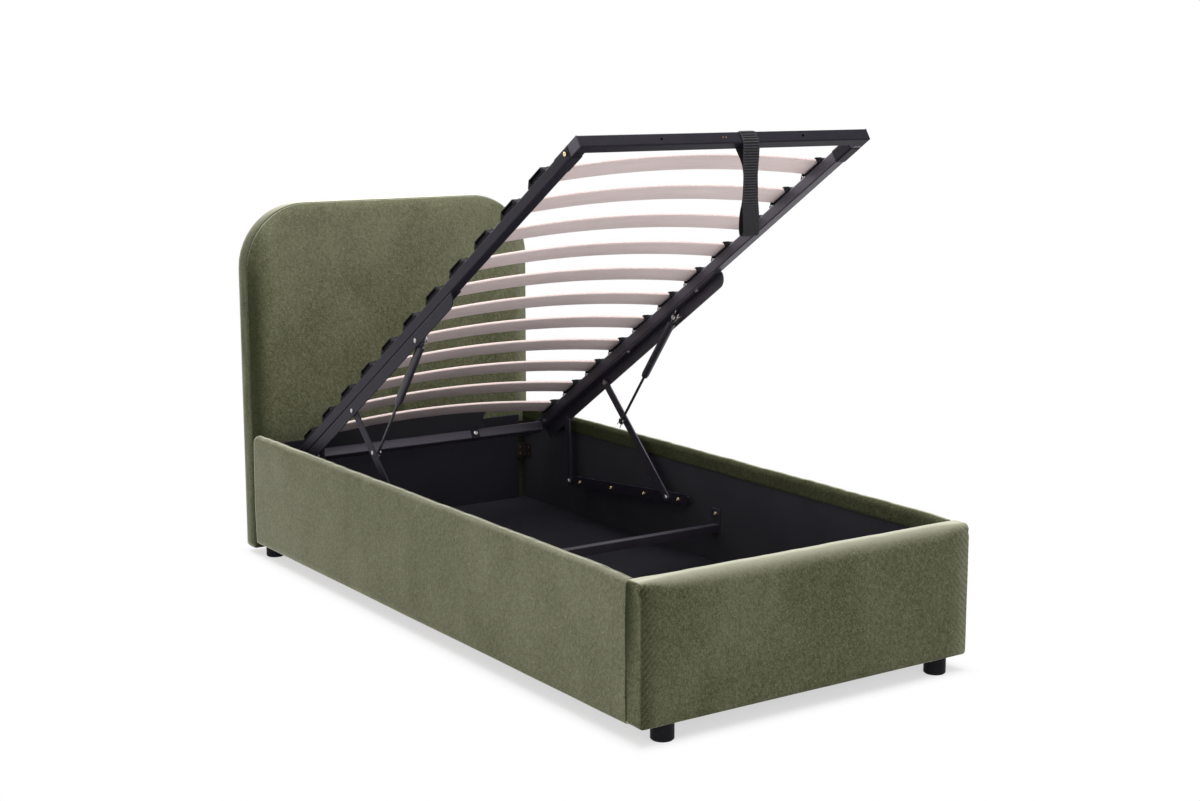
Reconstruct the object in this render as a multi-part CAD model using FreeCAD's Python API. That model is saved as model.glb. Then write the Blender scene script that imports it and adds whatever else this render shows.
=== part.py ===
import FreeCAD, Part
import math
import os
from FreeCAD import Vector

# Single storage bed with an upholstered frame and a slatted base that gas struts hold up.
# Millimetres. +X is the bed's right seen from the foot, +Y points to the headboard, +Z is up.
# The origin is on the floor under the middle of the bed. The base is drawn raised.

# Whole bed
bed_width = 980.0
bed_length = 2087.0
underside_height = 40.0
side_height = 331.0
overrun = 5.0
up_axis = Vector(0, 0, 1)
across_axis = Vector(1, 0, 0)
along_axis = Vector(0, 1, 0)

# Feet
foot_diameter = 54.0
foot_chamfer = 3.0
foot_side_inset = 80.0
front_foot_inset = 29.0
head_foot_clearance = 2.0
head_foot_side_inset = 50.0

# Side rails
rail_pad = 8.0
rail_board_thickness = 18.0
rail_return_thickness = 6.0
rail_return_depth = 45.0
rail_top_pad = 12.0
rail_top_round = 13.0
lining_thickness = 3.0

# Footboard
footboard_height = 328.0
footboard_thickness = 57.0
footboard_front_pad = 18.0
footboard_core_thickness = 25.0
footboard_top_pad = 14.0
footboard_end_pad = 20.0
footboard_round = 12.0

# Headboard
headboard_width = 970.0
headboard_height = 1055.0
headboard_floor_gap = 20.0
headboard_thickness = 90.0
headboard_corner_radius = 195.0
headboard_pad_depth = 16.0
headboard_pad_round = 12.0
headboard_border_thickness = 14.0
headboard_core_thickness = 18.0
headboard_post_width = 60.0
headboard_cross_height = 80.0
headboard_cross_place = 640.0
back_cloth_thickness = 2.0

# Storage box
cleat_width = 20.0
cleat_height = 12.0
batten_width = 64.0
floor_thickness = 13.0
floor_fit = 0.5
floor_joint = 2.0
head_panel_height = 275.0
head_panel_thickness = 12.0
head_panel_gap = 4.0
head_panel_slot = 25.0

# Tie bar across the box
tie_place = 963.0
tie_size = 24.0
tie_height = 112.0
tie_plate_length = 40.0
tie_plate_height = 69.0
tie_plate_thickness = 3.0
tie_bolt_drop = 14.0

# Corner brackets
bracket_leg = 37.0
bracket_height = 45.0
bracket_thickness = 3.0
head_bracket_heights = (160.0, 236.0)
foot_bracket_heights = (90.0, 220.0)

# Slatted base: gaps to the frame when shut, and the raised place of its head end's top edge
lid_side_gap = 31.0
lid_head_gap = 10.0
lid_foot_gap = 149.0
lid_shut_height = 300.0
lid_tilt = 32.8
raised_setback = 147.4
raised_head_height = 306.9
tube_size = 30.0
tube_wall = 1.5
tube_corner = 3.5
head_tube_drop = 16.0
head_tube_inset = 10.0
head_flange_length = 60.0
head_flange_thickness = 3.0
head_bolt_offset = 21.0
sleeve_set = 14.0
sleeve_length = 62.0
sleeve_wall = 1.8
sleeve_bolt_place = 26.0
foot_hole_diameter = 7.0
foot_hole_places = (-199.0, 219.0)
clip_place = 148.0
clip_width = 26.0
clip_thickness = 2.5

# Slats and their holders
slat_count = 11
slat_foot_margin = 196.0
slat_head_margin = 98.0
slat_width = 64.0
slat_thickness = 8.0
slat_bow = 27.0
slat_end_inset = 21.0
holder_length = 88.0
holder_width = 36.0
holder_slope = 14.0
holder_block = 16.0
holder_recess = 7.0
holder_rim = 1.8
holder_floor = 3.0
holder_roof = 2.5
holder_pocket_depth = 16.0
holder_wing = 18.0
holder_clearance = 0.4

# Lift plates: steel angles under the side tubes
plate_thickness = 3.0
plate_depth = 36.0
plate_length = 1060.0
plate_tail = 12.0
plate_tip_round = 28.0
plate_bend = 5.0
plate_bolts_from_head = (965.0, 575.0)

# Pivots: from the slatted base's head end and below its top for the lid side, on the box for the base side
rear_pivot_from_head = 144.0
front_pivot_from_head = 398.0
strut_pivot_from_head = 839.0
pivot_drop = 52.0
rear_pivot_drop = 60.0
front_base_from_head = 824.0
rear_base_height = 140.0
strut_link_reach = 283.0

# Links, pins and base channels
link_width = 26.0
link_thickness = 4.0
link_gap = 1.5
pin_radius = 5.0
pin_fit = 0.05
pin_head_radius = 8.5
pin_head_thickness = 2.6
pin_head_gap = 0.3
rivet_radius = 6.0
channel_height = 32.0
channel_wall = 3.0
channel_lip = 6.0
channel_end_round = 8.0
channel_flange_setback = 44.0
channel_front_reach = 94.0
channel_rear_gap = 32.0
screw_first = -54.0
screw_pitch = 171.0
screw_count = 4
screw_radius = 2.5
screw_head_radius = 5.5
screw_head_thickness = 3.0
screw_fit = 0.1

# Gas struts
cylinder_radius = 11.0
cylinder_start = 22.0
cylinder_length = 216.0
cylinder_collar = 8.0
collar_step = 1.5
rod_radius = 4.0
rod_fit = 0.05
rod_inside = 66.0
strut_bore_end_gap = 8.0
strut_eye_radius = 8.5
strut_eye_width = 6.0
strut_neck_radius = 5.5
strut_pin_radius = 4.0
strut_link_gap = 3.5
stud_gap = 0.5
stud_nut_radius = 7.0
stud_nut_thickness = 1.0

# Pull strap on the foot tube
strap_place = 54.0
strap_width = 48.0
strap_thickness = 3.0
strap_drop = 209.0
strap_hinge_along = 15.0
strap_hinge_gap = 0.5
strap_loop_open = 14.0
strap_neck = 46.0

# Places worked out from the sizes above
half_width = bed_width / 2
foot_face = -bed_length / 2
head_face = bed_length / 2
head_front = head_face - headboard_thickness
rail_foot = foot_face + footboard_thickness
rail_top = underside_height + side_height
board_outer = half_width - rail_pad
board_inner = board_outer - rail_board_thickness
lining_face = board_inner - lining_thickness
return_face = board_inner - rail_return_thickness
floor_top = underside_height + cleat_height + floor_thickness
lining_top = rail_top - rail_return_depth
half_lid = return_face - lid_side_gap
tube_inner_face = half_lid - tube_size
plate_face = half_lid - plate_thickness
link_outer = plate_face - link_gap
link_inner = link_outer - link_thickness
strut_x = link_inner - strut_link_gap - cylinder_radius
pin_inner = link_inner - pin_head_gap - pin_head_thickness
screw_places = [screw_first + i * screw_pitch for i in range(screw_count)]
shut_head_y = head_front - head_panel_gap - head_panel_thickness - lid_head_gap
shut_foot_y = rail_foot + lid_foot_gap
lid_length = shut_head_y - shut_foot_y
slat_pitch = (lid_length - slat_foot_margin - slat_head_margin) / (slat_count - 1)
plate_end = lid_length - plate_tail
plate_start = plate_end - plate_length
rear_pivot_along = lid_length - rear_pivot_from_head
front_pivot_along = lid_length - front_pivot_from_head
strut_pivot_along = lid_length - strut_pivot_from_head
raised_foot_y = shut_head_y - raised_setback - lid_length * math.cos(math.radians(lid_tilt))
raised_foot_z = underside_height + raised_head_height + lid_length * math.sin(math.radians(lid_tilt))
lid_turn = FreeCAD.Rotation(across_axis, -lid_tilt)
lid_place = FreeCAD.Placement(Vector(0, raised_foot_y, raised_foot_z), lid_turn)


def box(x0, x1, y0, y1, z0, z1):
    """A block between two corners."""
    return Part.makeBox(x1 - x0, y1 - y0, z1 - z0, Vector(x0, y0, z0))


def rod_x(radius, x0, x1, y, z):
    """A round bar along X between two places."""
    return Part.makeCylinder(radius, x1 - x0, Vector(x0, y, z), across_axis)


def hole_x(radius, x0, x1, y, z):
    """A round cutter along X that runs past both faces of what it cuts."""
    return rod_x(radius, x0 - overrun, x1 + overrun, y, z)


def line(a, b):
    """A straight edge."""
    return Part.LineSegment(a, b).toShape()


def arc(a, b, c):
    """A round edge from a to c through b."""
    return Part.Arc(a, b, c).toShape()


def rounded_long(block, radius):
    """A block with its four longest edges rounded."""
    longest = max(e.Length for e in block.Edges)
    return block.makeFillet(radius, [e for e in block.Edges if e.Length > longest - overrun])


def mirrored(shape):
    """The left-hand twin of a right-hand shape."""
    return shape.mirror(Vector(0, 0, 0), across_axis)


def both_sides(shape):
    """A right-hand shape and its left-hand twin as separate solids."""
    return Part.makeCompound([shape, mirrored(shape)])


def on_lid(shape):
    """Moves a shape from the flat slatted base to its raised place."""
    moved = shape.copy()
    moved.Placement = lid_place.multiply(moved.Placement)
    return moved


def lid_point(along, drop):
    """The (y, z) place of a point on the raised slatted base."""
    p = lid_place.multVec(Vector(0, along, -drop))
    return p.y, p.z


def shut_point(along, drop):
    """The (y, z) place of the same point with the slatted base shut."""
    return shut_foot_y + along, underside_height + lid_shut_height - drop


def save(name, shape):
    """Writes one node's solid or group of solids."""
    shape.exportStep(os.path.join("parts", name + ".step"))


# Each base pivot is as far from its lid pivot's raised place as from its shut place.
front_pivot_y, front_pivot_z = lid_point(front_pivot_along, pivot_drop)
front_shut_y, front_shut_z = shut_point(front_pivot_along, pivot_drop)
rear_pivot_y, rear_pivot_z = lid_point(rear_pivot_along, rear_pivot_drop)
rear_shut_y, rear_shut_z = shut_point(rear_pivot_along, rear_pivot_drop)
strut_pivot_y, strut_pivot_z = lid_point(strut_pivot_along, pivot_drop)
front_base_y = shut_head_y - front_base_from_head
front_slope = (front_shut_y - front_pivot_y) / (front_shut_z - front_pivot_z)
front_base_z = (front_pivot_z + front_shut_z) / 2 \
    - (front_base_y - (front_pivot_y + front_shut_y) / 2) * front_slope
rear_base_z = underside_height + rear_base_height
rear_slope = (rear_shut_z - rear_pivot_z) / (rear_shut_y - rear_pivot_y)
rear_base_y = (rear_pivot_y + rear_shut_y) / 2 \
    - (rear_base_z - (rear_pivot_z + rear_shut_z) / 2) * rear_slope
front_link_length = math.hypot(front_pivot_y - front_base_y, front_pivot_z - front_base_z)
stud_y = front_base_y + (front_pivot_y - front_base_y) * strut_link_reach / front_link_length
stud_z = front_base_z + (front_pivot_z - front_base_z) * strut_link_reach / front_link_length
base_span = math.hypot(rear_base_y - front_base_y, rear_base_z - front_base_z)
base_angle = math.degrees(math.atan2(rear_base_z - front_base_z, rear_base_y - front_base_y))
strut_length = math.hypot(stud_y - strut_pivot_y, stud_z - strut_pivot_z)
strut_angle = math.degrees(math.atan2(stud_z - strut_pivot_z, stud_y - strut_pivot_y))


def set_along(shape, y, z, angle):
    """Turns a shape drawn along +Y from the origin to an angle and sets it at a place."""
    moved = shape.copy()
    turn = FreeCAD.Placement(Vector(0, y, z), FreeCAD.Rotation(across_axis, angle))
    moved.Placement = turn.multiply(moved.Placement)
    return moved


def make_feet():
    """Round black feet under the footboard and under the head batten."""
    radius = foot_diameter / 2
    foot = Part.makeCylinder(radius, underside_height)
    rim = [e for e in foot.Edges if e.Length > radius and e.BoundBox.ZMax < foot_chamfer]
    foot = foot.makeChamfer(foot_chamfer, rim)
    front_x = half_width - foot_side_inset
    head_x = half_width - head_foot_side_inset
    head_y = head_front - head_foot_clearance - radius
    places = {
        "foot_front_left": (-front_x, foot_face + front_foot_inset),
        "foot_front_right": (front_x, foot_face + front_foot_inset),
        "foot_head_left": (-head_x, head_y),
        "foot_head_right": (head_x, head_y),
    }
    for name, (px, py) in places.items():
        placed = foot.copy()
        placed.translate(Vector(px, py, 0))
        save(name, placed)


def rail_cover_profile():
    """Section of the right rail's cover: outer pad, rounded top and inner return."""
    r = min(rail_top_round, (half_width - return_face) / 2 - rail_pad / 4)
    lean = r - r / math.sqrt(2)
    board_top = rail_top - rail_top_pad
    p = [
        Vector(half_width, 0, underside_height),
        Vector(half_width, 0, rail_top - r),
        Vector(half_width - lean, 0, rail_top - lean),
        Vector(half_width - r, 0, rail_top),
        Vector(return_face + r, 0, rail_top),
        Vector(return_face + lean, 0, rail_top - lean),
        Vector(return_face, 0, rail_top - r),
        Vector(return_face, 0, lining_top),
        Vector(board_inner, 0, lining_top),
        Vector(board_inner, 0, board_top),
        Vector(board_outer, 0, board_top),
        Vector(board_outer, 0, underside_height),
    ]
    edges = [line(p[0], p[1]), arc(p[1], p[2], p[3])]
    edges += [line(p[3], p[4]), arc(p[4], p[5], p[6])]
    for a, b in zip(p[6:], p[7:] + p[:1]):
        edges.append(line(a, b))
    return Part.Face(Part.Wire(edges))


def make_rails():
    """Upholstered side rails: board, padded cover and black lining."""
    run = head_front - rail_foot
    cover = rail_cover_profile().extrude(Vector(0, run, 0))
    cover.translate(Vector(0, rail_foot, 0))
    board = box(board_inner, board_outer, rail_foot, head_front, underside_height, rail_top - rail_top_pad)
    lining = box(lining_face, board_inner, rail_foot, head_front, floor_top, lining_top)
    for name, shape in (("rail_cover", cover), ("rail_board", board), ("rail_lining", lining)):
        save("right_" + name, shape)
        save("left_" + name, mirrored(shape))


def make_footboard():
    """Footboard: padded cover with rounded edges over a core board, lined inside."""
    top = underside_height + footboard_height
    cover = box(-half_width, half_width, foot_face, rail_foot, underside_height, top)
    soft = []
    for edge in cover.Edges:
        b = edge.BoundBox
        at_back = b.YMin > (foot_face + rail_foot) / 2
        if not at_back or b.ZMin > (underside_height + top) / 2:
            soft.append(edge)
    cover = cover.makeFillet(min(footboard_round, footboard_thickness / 3), soft)
    core_half = half_width - footboard_end_pad
    core_front = foot_face + footboard_front_pad
    core_back = core_front + footboard_core_thickness
    core_top = top - footboard_top_pad
    cover = cover.cut(box(-core_half, core_half, core_front, core_back, underside_height - overrun, core_top))
    save("footboard_cover", cover)
    save("footboard_core", box(-core_half, core_half, core_front, core_back, underside_height, core_top))
    lining_edge = lining_face - floor_fit
    lined_top = top - rail_return_depth
    save("footboard_lining", box(-lining_edge, lining_edge, rail_foot, rail_foot + lining_thickness,
                                 floor_top, lined_top))


def arch(inset, bottom, y0, y1):
    """Headboard outline with round top corners, drawn in from the edge and given a depth."""
    half = headboard_width / 2 - inset
    top = headboard_height - inset
    r = headboard_corner_radius - inset
    lean = r - r / math.sqrt(2)
    p = [
        Vector(-half, y0, bottom),
        Vector(-half, y0, top - r),
        Vector(-half + lean, y0, top - lean),
        Vector(-half + r, y0, top),
        Vector(half - r, y0, top),
        Vector(half - lean, y0, top - lean),
        Vector(half, y0, top - r),
        Vector(half, y0, bottom),
    ]
    edges = [line(p[0], p[1]), arc(p[1], p[2], p[3])]
    edges += [line(p[3], p[4]), arc(p[4], p[5], p[6])]
    edges += [line(p[6], p[7]), line(p[7], p[0])]
    return Part.Face(Part.Wire(edges)).extrude(Vector(0, y1 - y0, 0))


def make_headboard():
    """Headboard: padded front, boxing border, core panel, posts and back cloth."""
    bottom = headboard_floor_gap
    pad_back = head_front + headboard_pad_depth
    border_back = head_face - back_cloth_thickness
    core_back = pad_back + headboard_core_thickness
    pad = arch(0, bottom, head_front, pad_back)
    front_edges = [e for e in pad.Edges if e.BoundBox.YMax < (head_front + pad_back) / 2]
    pad = pad.makeFillet(min(headboard_pad_round, headboard_pad_depth * 2 / 3), front_edges)
    save("headboard_pad", pad)
    inset = headboard_border_thickness
    hollow = arch(inset, bottom - overrun, pad_back - overrun, border_back + overrun)
    save("headboard_border", arch(0, bottom, pad_back, border_back).cut(hollow))
    save("headboard_core", arch(inset, bottom, pad_back, core_back))
    post_outer = headboard_width / 2 - inset
    post_inner = post_outer - headboard_post_width
    post_top = headboard_height - headboard_corner_radius
    post = box(post_inner, post_outer, core_back, border_back, bottom, post_top)
    cross = box(-post_inner, post_inner, core_back, border_back,
                headboard_cross_place, headboard_cross_place + headboard_cross_height)
    save("headboard_frame", Part.makeCompound([post, mirrored(post), cross]))
    save("headboard_back_cloth", arch(inset / 2, bottom, border_back, head_face))


def make_storage_box():
    """Floor of the box on cleats and battens, with the black panel at its head end."""
    cleat_top = underside_height + cleat_height
    cleat = box(board_inner - cleat_width, board_inner, rail_foot, head_front, underside_height, cleat_top)
    reach = board_inner - cleat_width
    middle = foot_face + tie_place
    battens = [cleat, mirrored(cleat)]
    for y in (middle - batten_width / 2, head_front - batten_width):
        battens.append(box(-reach, reach, y, y + batten_width, underside_height, cleat_top))
    save("floor_battens", Part.makeCompound(battens))
    edge = board_inner - floor_fit
    foot_board = box(-edge, edge, rail_foot + floor_fit, middle - floor_joint / 2, cleat_top, floor_top)
    head_board = box(-edge, edge, middle + floor_joint / 2, head_front - floor_fit, cleat_top, floor_top)
    save("floor_boards", Part.makeCompound([foot_board, head_board]))
    panel_edge = lining_face - head_panel_slot
    panel_back = head_front - head_panel_gap
    save("head_panel", box(-panel_edge, panel_edge, panel_back - head_panel_thickness, panel_back,
                           floor_top, floor_top + head_panel_height))


def tie_bolt_point():
    """The (y, z) place of the bolt in the tie bar's end plate."""
    y = foot_face + tie_place
    return y, underside_height + tie_height + tie_plate_height - tie_bolt_drop


def make_tie_bar():
    """Square tie bar across the box with an end plate bolted to each rail."""
    y = foot_face + tie_place
    z = underside_height + tie_height
    plate_inner = lining_face - tie_plate_thickness
    bar = box(-plate_inner, plate_inner, y - tie_size / 2, y + tie_size / 2, z, z + tie_size)
    inner = tie_size / 2 - tube_wall
    hollow = box(-plate_inner, plate_inner, y - inner, y + inner, z + tube_wall, z + tie_size - tube_wall)
    plate = box(plate_inner, lining_face, y - tie_plate_length / 2, y + tie_plate_length / 2,
                z, z + tie_plate_height)
    plate = plate.cut(hole_x(screw_radius + screw_fit, plate_inner, lining_face, *tie_bolt_point()))
    save("tie_bar", bar.cut(hollow).fuse([plate, mirrored(plate)]).removeSplitter())


def make_brackets():
    """Steel angles that join the rails to the head panel and to the footboard."""
    panel_front = head_front - head_panel_gap - head_panel_thickness
    foot_back = rail_foot + lining_thickness
    angles = []
    for height in head_bracket_heights:
        z = underside_height + height
        side = box(lining_face - bracket_thickness, lining_face, panel_front - bracket_leg, panel_front,
                   z, z + bracket_height)
        end = box(lining_face - bracket_leg, lining_face, panel_front - bracket_thickness, panel_front,
                  z, z + bracket_height)
        angles.append(side.fuse(end).removeSplitter())
    for height in foot_bracket_heights:
        z = underside_height + height
        side = box(lining_face - bracket_thickness, lining_face, foot_back, foot_back + bracket_leg,
                   z, z + bracket_height)
        end = box(lining_face - bracket_leg, lining_face, foot_back, foot_back + bracket_thickness,
                  z, z + bracket_height)
        angles.append(side.fuse(end).removeSplitter())
    save("corner_brackets", Part.makeCompound([both_sides(a) for a in angles]))


def stadium(length, width, x0, x1):
    """A flat bar with round ends, from the origin along +Y."""
    bar = box(x0, x1, 0, length, -width / 2, width / 2)
    ends = [rod_x(width / 2, x0, x1, 0, 0), rod_x(width / 2, x0, x1, length, 0)]
    return bar.fuse(ends).removeSplitter()


def make_base_channels():
    """Channels on the rails that carry the links, with their pins."""
    rear_end = base_span - channel_rear_gap
    half = channel_height / 2
    web = box(plate_face, half_lid, -channel_front_reach, rear_end, -half, half)
    front = [e for e in web.Edges if e.BoundBox.YMax < overrun - channel_front_reach and e.Length < half]
    web = web.makeFillet(channel_end_round, front)
    ear = stadium(base_span, link_width, plate_face, half_lid)
    flange_start = channel_flange_setback - channel_front_reach
    upper = box(plate_face, half_lid + channel_lip, flange_start, rear_end, half - channel_wall, half)
    lower = box(plate_face, lining_face, flange_start, rear_end, -half, channel_wall - half)
    channel = web.fuse([ear, upper, lower])
    for along in (0, base_span):
        channel = channel.cut(hole_x(pin_radius, plate_face, half_lid, along, 0))
    for along in screw_places:
        channel = channel.cut(hole_x(screw_radius + screw_fit, plate_face, half_lid, along, 0))
    channel = set_along(channel.removeSplitter(), front_base_y, front_base_z, base_angle)
    save("right_base_channel", channel)
    save("left_base_channel", mirrored(channel))
    pins = []
    for y, z in ((front_base_y, front_base_z), (rear_base_y, rear_base_z)):
        shaft = rod_x(pin_radius, pin_inner, half_lid, y, z)
        pins.append(shaft.fuse(rod_x(pin_head_radius, pin_inner, pin_inner + pin_head_thickness, y, z)))
    save("base_pivot_pins", Part.makeCompound([both_sides(p) for p in pins]))


def screw(seat, y, z):
    """A screw along X through the piece whose face is at the seat, into the rail."""
    head = rod_x(screw_head_radius, seat - screw_head_thickness, seat, y, z)
    return head.fuse(rod_x(screw_radius, seat, lining_face, y, z)).removeSplitter()


def make_rail_screws():
    """Screws that fix the base channels and the tie bar to the rails."""
    screws = Part.makeCompound([screw(plate_face, along, 0) for along in screw_places])
    screws = set_along(screws, front_base_y, front_base_z, base_angle)
    tie_bolt = screw(lining_face - tie_plate_thickness, *tie_bolt_point())
    save("rail_screws", Part.makeCompound([both_sides(screws), both_sides(tie_bolt)]))


def make_links():
    """Front and rear links of the lift, each a flat steel bar."""
    front_angle = math.degrees(math.atan2(front_pivot_z - front_base_z, front_pivot_y - front_base_y))
    front = stadium(front_link_length, link_width, link_inner, link_outer)
    for along in (0, front_link_length):
        front = front.cut(hole_x(pin_radius + pin_fit, link_inner, link_outer, along, 0))
    nut = rod_x(stud_nut_radius, link_outer, link_outer + stud_nut_thickness, strut_link_reach, 0)
    front = set_along(front.fuse(nut).removeSplitter(), front_base_y, front_base_z, front_angle)
    save("right_front_link", front)
    save("left_front_link", mirrored(front))
    rear_length = math.hypot(rear_pivot_y - rear_base_y, rear_pivot_z - rear_base_z)
    rear_angle = math.degrees(math.atan2(rear_pivot_z - rear_base_z, rear_pivot_y - rear_base_y))
    rear = stadium(rear_length, link_width, link_inner, link_outer)
    rear = rear.cut(hole_x(pin_radius + pin_fit, link_inner, link_outer, 0, 0))
    rivet = rod_x(pin_head_radius, link_inner - pin_head_thickness, link_inner, rear_length, 0)
    rear = set_along(rear.fuse(rivet).removeSplitter(), rear_base_y, rear_base_z, rear_angle)
    save("right_rear_link", rear)
    save("left_rear_link", mirrored(rear))


def make_lift_plates():
    """Steel angles bolted under the side tubes, with the pins that the links and struts turn on."""
    top = -tube_size
    flat = box(tube_inner_face, half_lid, plate_start, plate_end, top - plate_thickness, top)
    upright = box(plate_face, half_lid, plate_start, plate_end, top - plate_depth, top)
    tip = [e for e in upright.Edges
           if e.BoundBox.YMax < (plate_start + plate_end) / 2 and e.BoundBox.ZMax < top - plate_depth / 2
           and e.BoundBox.XLength > plate_thickness / 2]
    upright = upright.makeFillet(min(plate_tip_round, plate_depth - plate_thickness - tube_wall), tip)
    plate = flat.fuse(upright).removeSplitter()
    bend = [e for e in plate.Edges
            if e.BoundBox.XMin > plate_face and e.BoundBox.ZMin > top - plate_thickness
            and e.Length > plate_depth]
    plate = plate.makeFillet(plate_bend, bend)
    link_place = (front_pivot_along, -pivot_drop)
    strut_place = (strut_pivot_along, -pivot_drop)
    plate = plate.cut(hole_x(pin_radius, plate_face, half_lid, *link_place))
    plate = plate.cut(hole_x(strut_pin_radius, plate_face, half_lid, *strut_place))
    plate = plate.removeSplitter()
    save("right_lift_plate", on_lid(plate))
    save("left_lift_plate", on_lid(mirrored(plate)))
    head = pin_head_thickness
    link_pin = rod_x(pin_radius, pin_inner, half_lid, *link_place)
    link_head = rod_x(pin_head_radius, pin_inner, pin_inner + head, *link_place)
    outer_head = rod_x(rivet_radius, half_lid, half_lid + head, *link_place)
    pin_end = strut_x - strut_neck_radius - pin_head_gap
    strut_pin = rod_x(strut_pin_radius, pin_end, half_lid, *strut_place)
    strut_head = rod_x(stud_nut_radius, pin_end - head, pin_end, *strut_place)
    strut_outer = rod_x(rivet_radius, half_lid, half_lid + head, *strut_place)
    pins = [link_pin.fuse([link_head, outer_head]), strut_pin.fuse([strut_head, strut_outer])]
    save("lid_pivot_pins", on_lid(Part.makeCompound([both_sides(p) for p in pins])))


def make_lid_bolts():
    """Bolt heads that fix the lift plates under the side tubes and the head tube between them."""
    bolts = []
    x = (tube_inner_face + link_inner) / 2
    for from_head in plate_bolts_from_head:
        seat = Vector(x, lid_length - from_head, -tube_size - plate_thickness)
        bolts.append(Part.makeCylinder(screw_head_radius, screw_head_thickness, seat, -up_axis))
    flange_inner = tube_inner_face - head_flange_thickness
    bolt_y = lid_length - head_tube_inset - tube_size - head_bolt_offset
    bolts.append(rod_x(screw_head_radius, flange_inner - screw_head_thickness, flange_inner,
                       bolt_y, -(head_tube_drop + tube_size) / 2))
    save("lid_bolts", on_lid(Part.makeCompound([both_sides(b) for b in bolts])))


def square_tube_y(x0, y0, y1):
    """A square tube along Y whose top is the slatted base's top."""
    tube = rounded_long(box(x0, x0 + tube_size, y0, y1, -tube_size, 0), tube_corner)
    w = tube_wall
    bore = box(x0 + w, x0 + tube_size - w, y0 - overrun, y1 + overrun, w - tube_size, -w)
    return tube.cut(rounded_long(bore, tube_corner - w))


def make_lid_frame():
    """Square steel tubes of the slatted base, with foot corner sleeves and head tube fixings."""
    side = square_tube_y(tube_inner_face, tube_size, lid_length)
    save("right_side_tube", on_lid(side))
    save("left_side_tube", on_lid(mirrored(side)))
    w = tube_wall
    foot = rounded_long(box(-half_lid, half_lid, 0, tube_size, -tube_size, 0), tube_corner)
    bore = box(w - half_lid, half_lid - w, w, tube_size - w, w - tube_size, -w)
    foot = foot.cut(rounded_long(bore, tube_corner - w))
    for x in foot_hole_places:
        foot = foot.cut(Part.makeCylinder(foot_hole_diameter / 2, w + overrun,
                                          Vector(x, -overrun, -tube_size / 2), along_axis))
    save("foot_tube", on_lid(foot))
    head_y = lid_length - head_tube_inset - tube_size
    flange_inner = tube_inner_face - head_flange_thickness
    head_top = -head_tube_drop
    head = box(-flange_inner, flange_inner, head_y, head_y + tube_size, head_top - tube_size, head_top)
    bore = box(-flange_inner, flange_inner, head_y + w, head_y + tube_size - w,
               head_top - tube_size + w, head_top - w)
    head = rounded_long(head, tube_corner).cut(rounded_long(bore, tube_corner - w))
    flange = box(flange_inner, tube_inner_face, head_y + tube_size - head_flange_length, head_y + tube_size,
                 -tube_size, head_top)
    head = head.fuse([flange, mirrored(flange)]).removeSplitter()
    save("head_tube", on_lid(head))
    s = sleeve_wall
    sleeve_start = tube_size + sleeve_set
    sleeve_end = sleeve_start + sleeve_length
    sleeve = box(tube_inner_face - s, half_lid + s, sleeve_start, sleeve_end, -tube_size - s, s)
    bore = box(tube_inner_face, half_lid, sleeve_start - overrun, sleeve_end + overrun, -tube_size, 0)
    sleeve = rounded_long(sleeve, tube_corner + s).cut(rounded_long(bore, tube_corner))
    bolt = rod_x(screw_head_radius, half_lid + s, half_lid + s + screw_head_thickness,
                 tube_size + sleeve_bolt_place, -tube_size / 2)
    save("corner_sleeves", on_lid(both_sides(sleeve.fuse(bolt))))
    clip = box(clip_place - clip_width / 2, clip_place + clip_width / 2, head_y - clip_thickness, head_y,
               head_top - tube_size, head_top)
    seat = Vector(clip_place, head_y - clip_thickness, head_top - tube_size / 2)
    clip_bolt = Part.makeCylinder(screw_head_radius, screw_head_thickness, seat, -along_axis)
    save("head_tube_clip", on_lid(clip.fuse(clip_bolt)))


def holder_wing_plate(rim, high):
    """Open triangular wing that stands on the tube beside a slat holder's mouth."""
    t = holder_rim
    x = tube_inner_face
    lean = t * math.hypot(holder_wing, high) / high
    outer = [Vector(x, rim - t, 0), Vector(x, rim + holder_wing, 0), Vector(x, rim, high)]
    outer += [Vector(x, rim - t, high), outer[0]]
    low_end = rim + holder_wing * (1 - t / high) - lean
    inner = [Vector(x, rim, t), Vector(x, low_end, t)]
    inner += [Vector(x, rim, high * (1 - lean / holder_wing)), inner[0]]
    plate = Part.Face(Part.makePolygon(outer)).extrude(Vector(t, 0, 0))
    return plate.cut(Part.Face(Part.makePolygon(inner)).extrude(Vector(t, 0, 0)))


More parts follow.
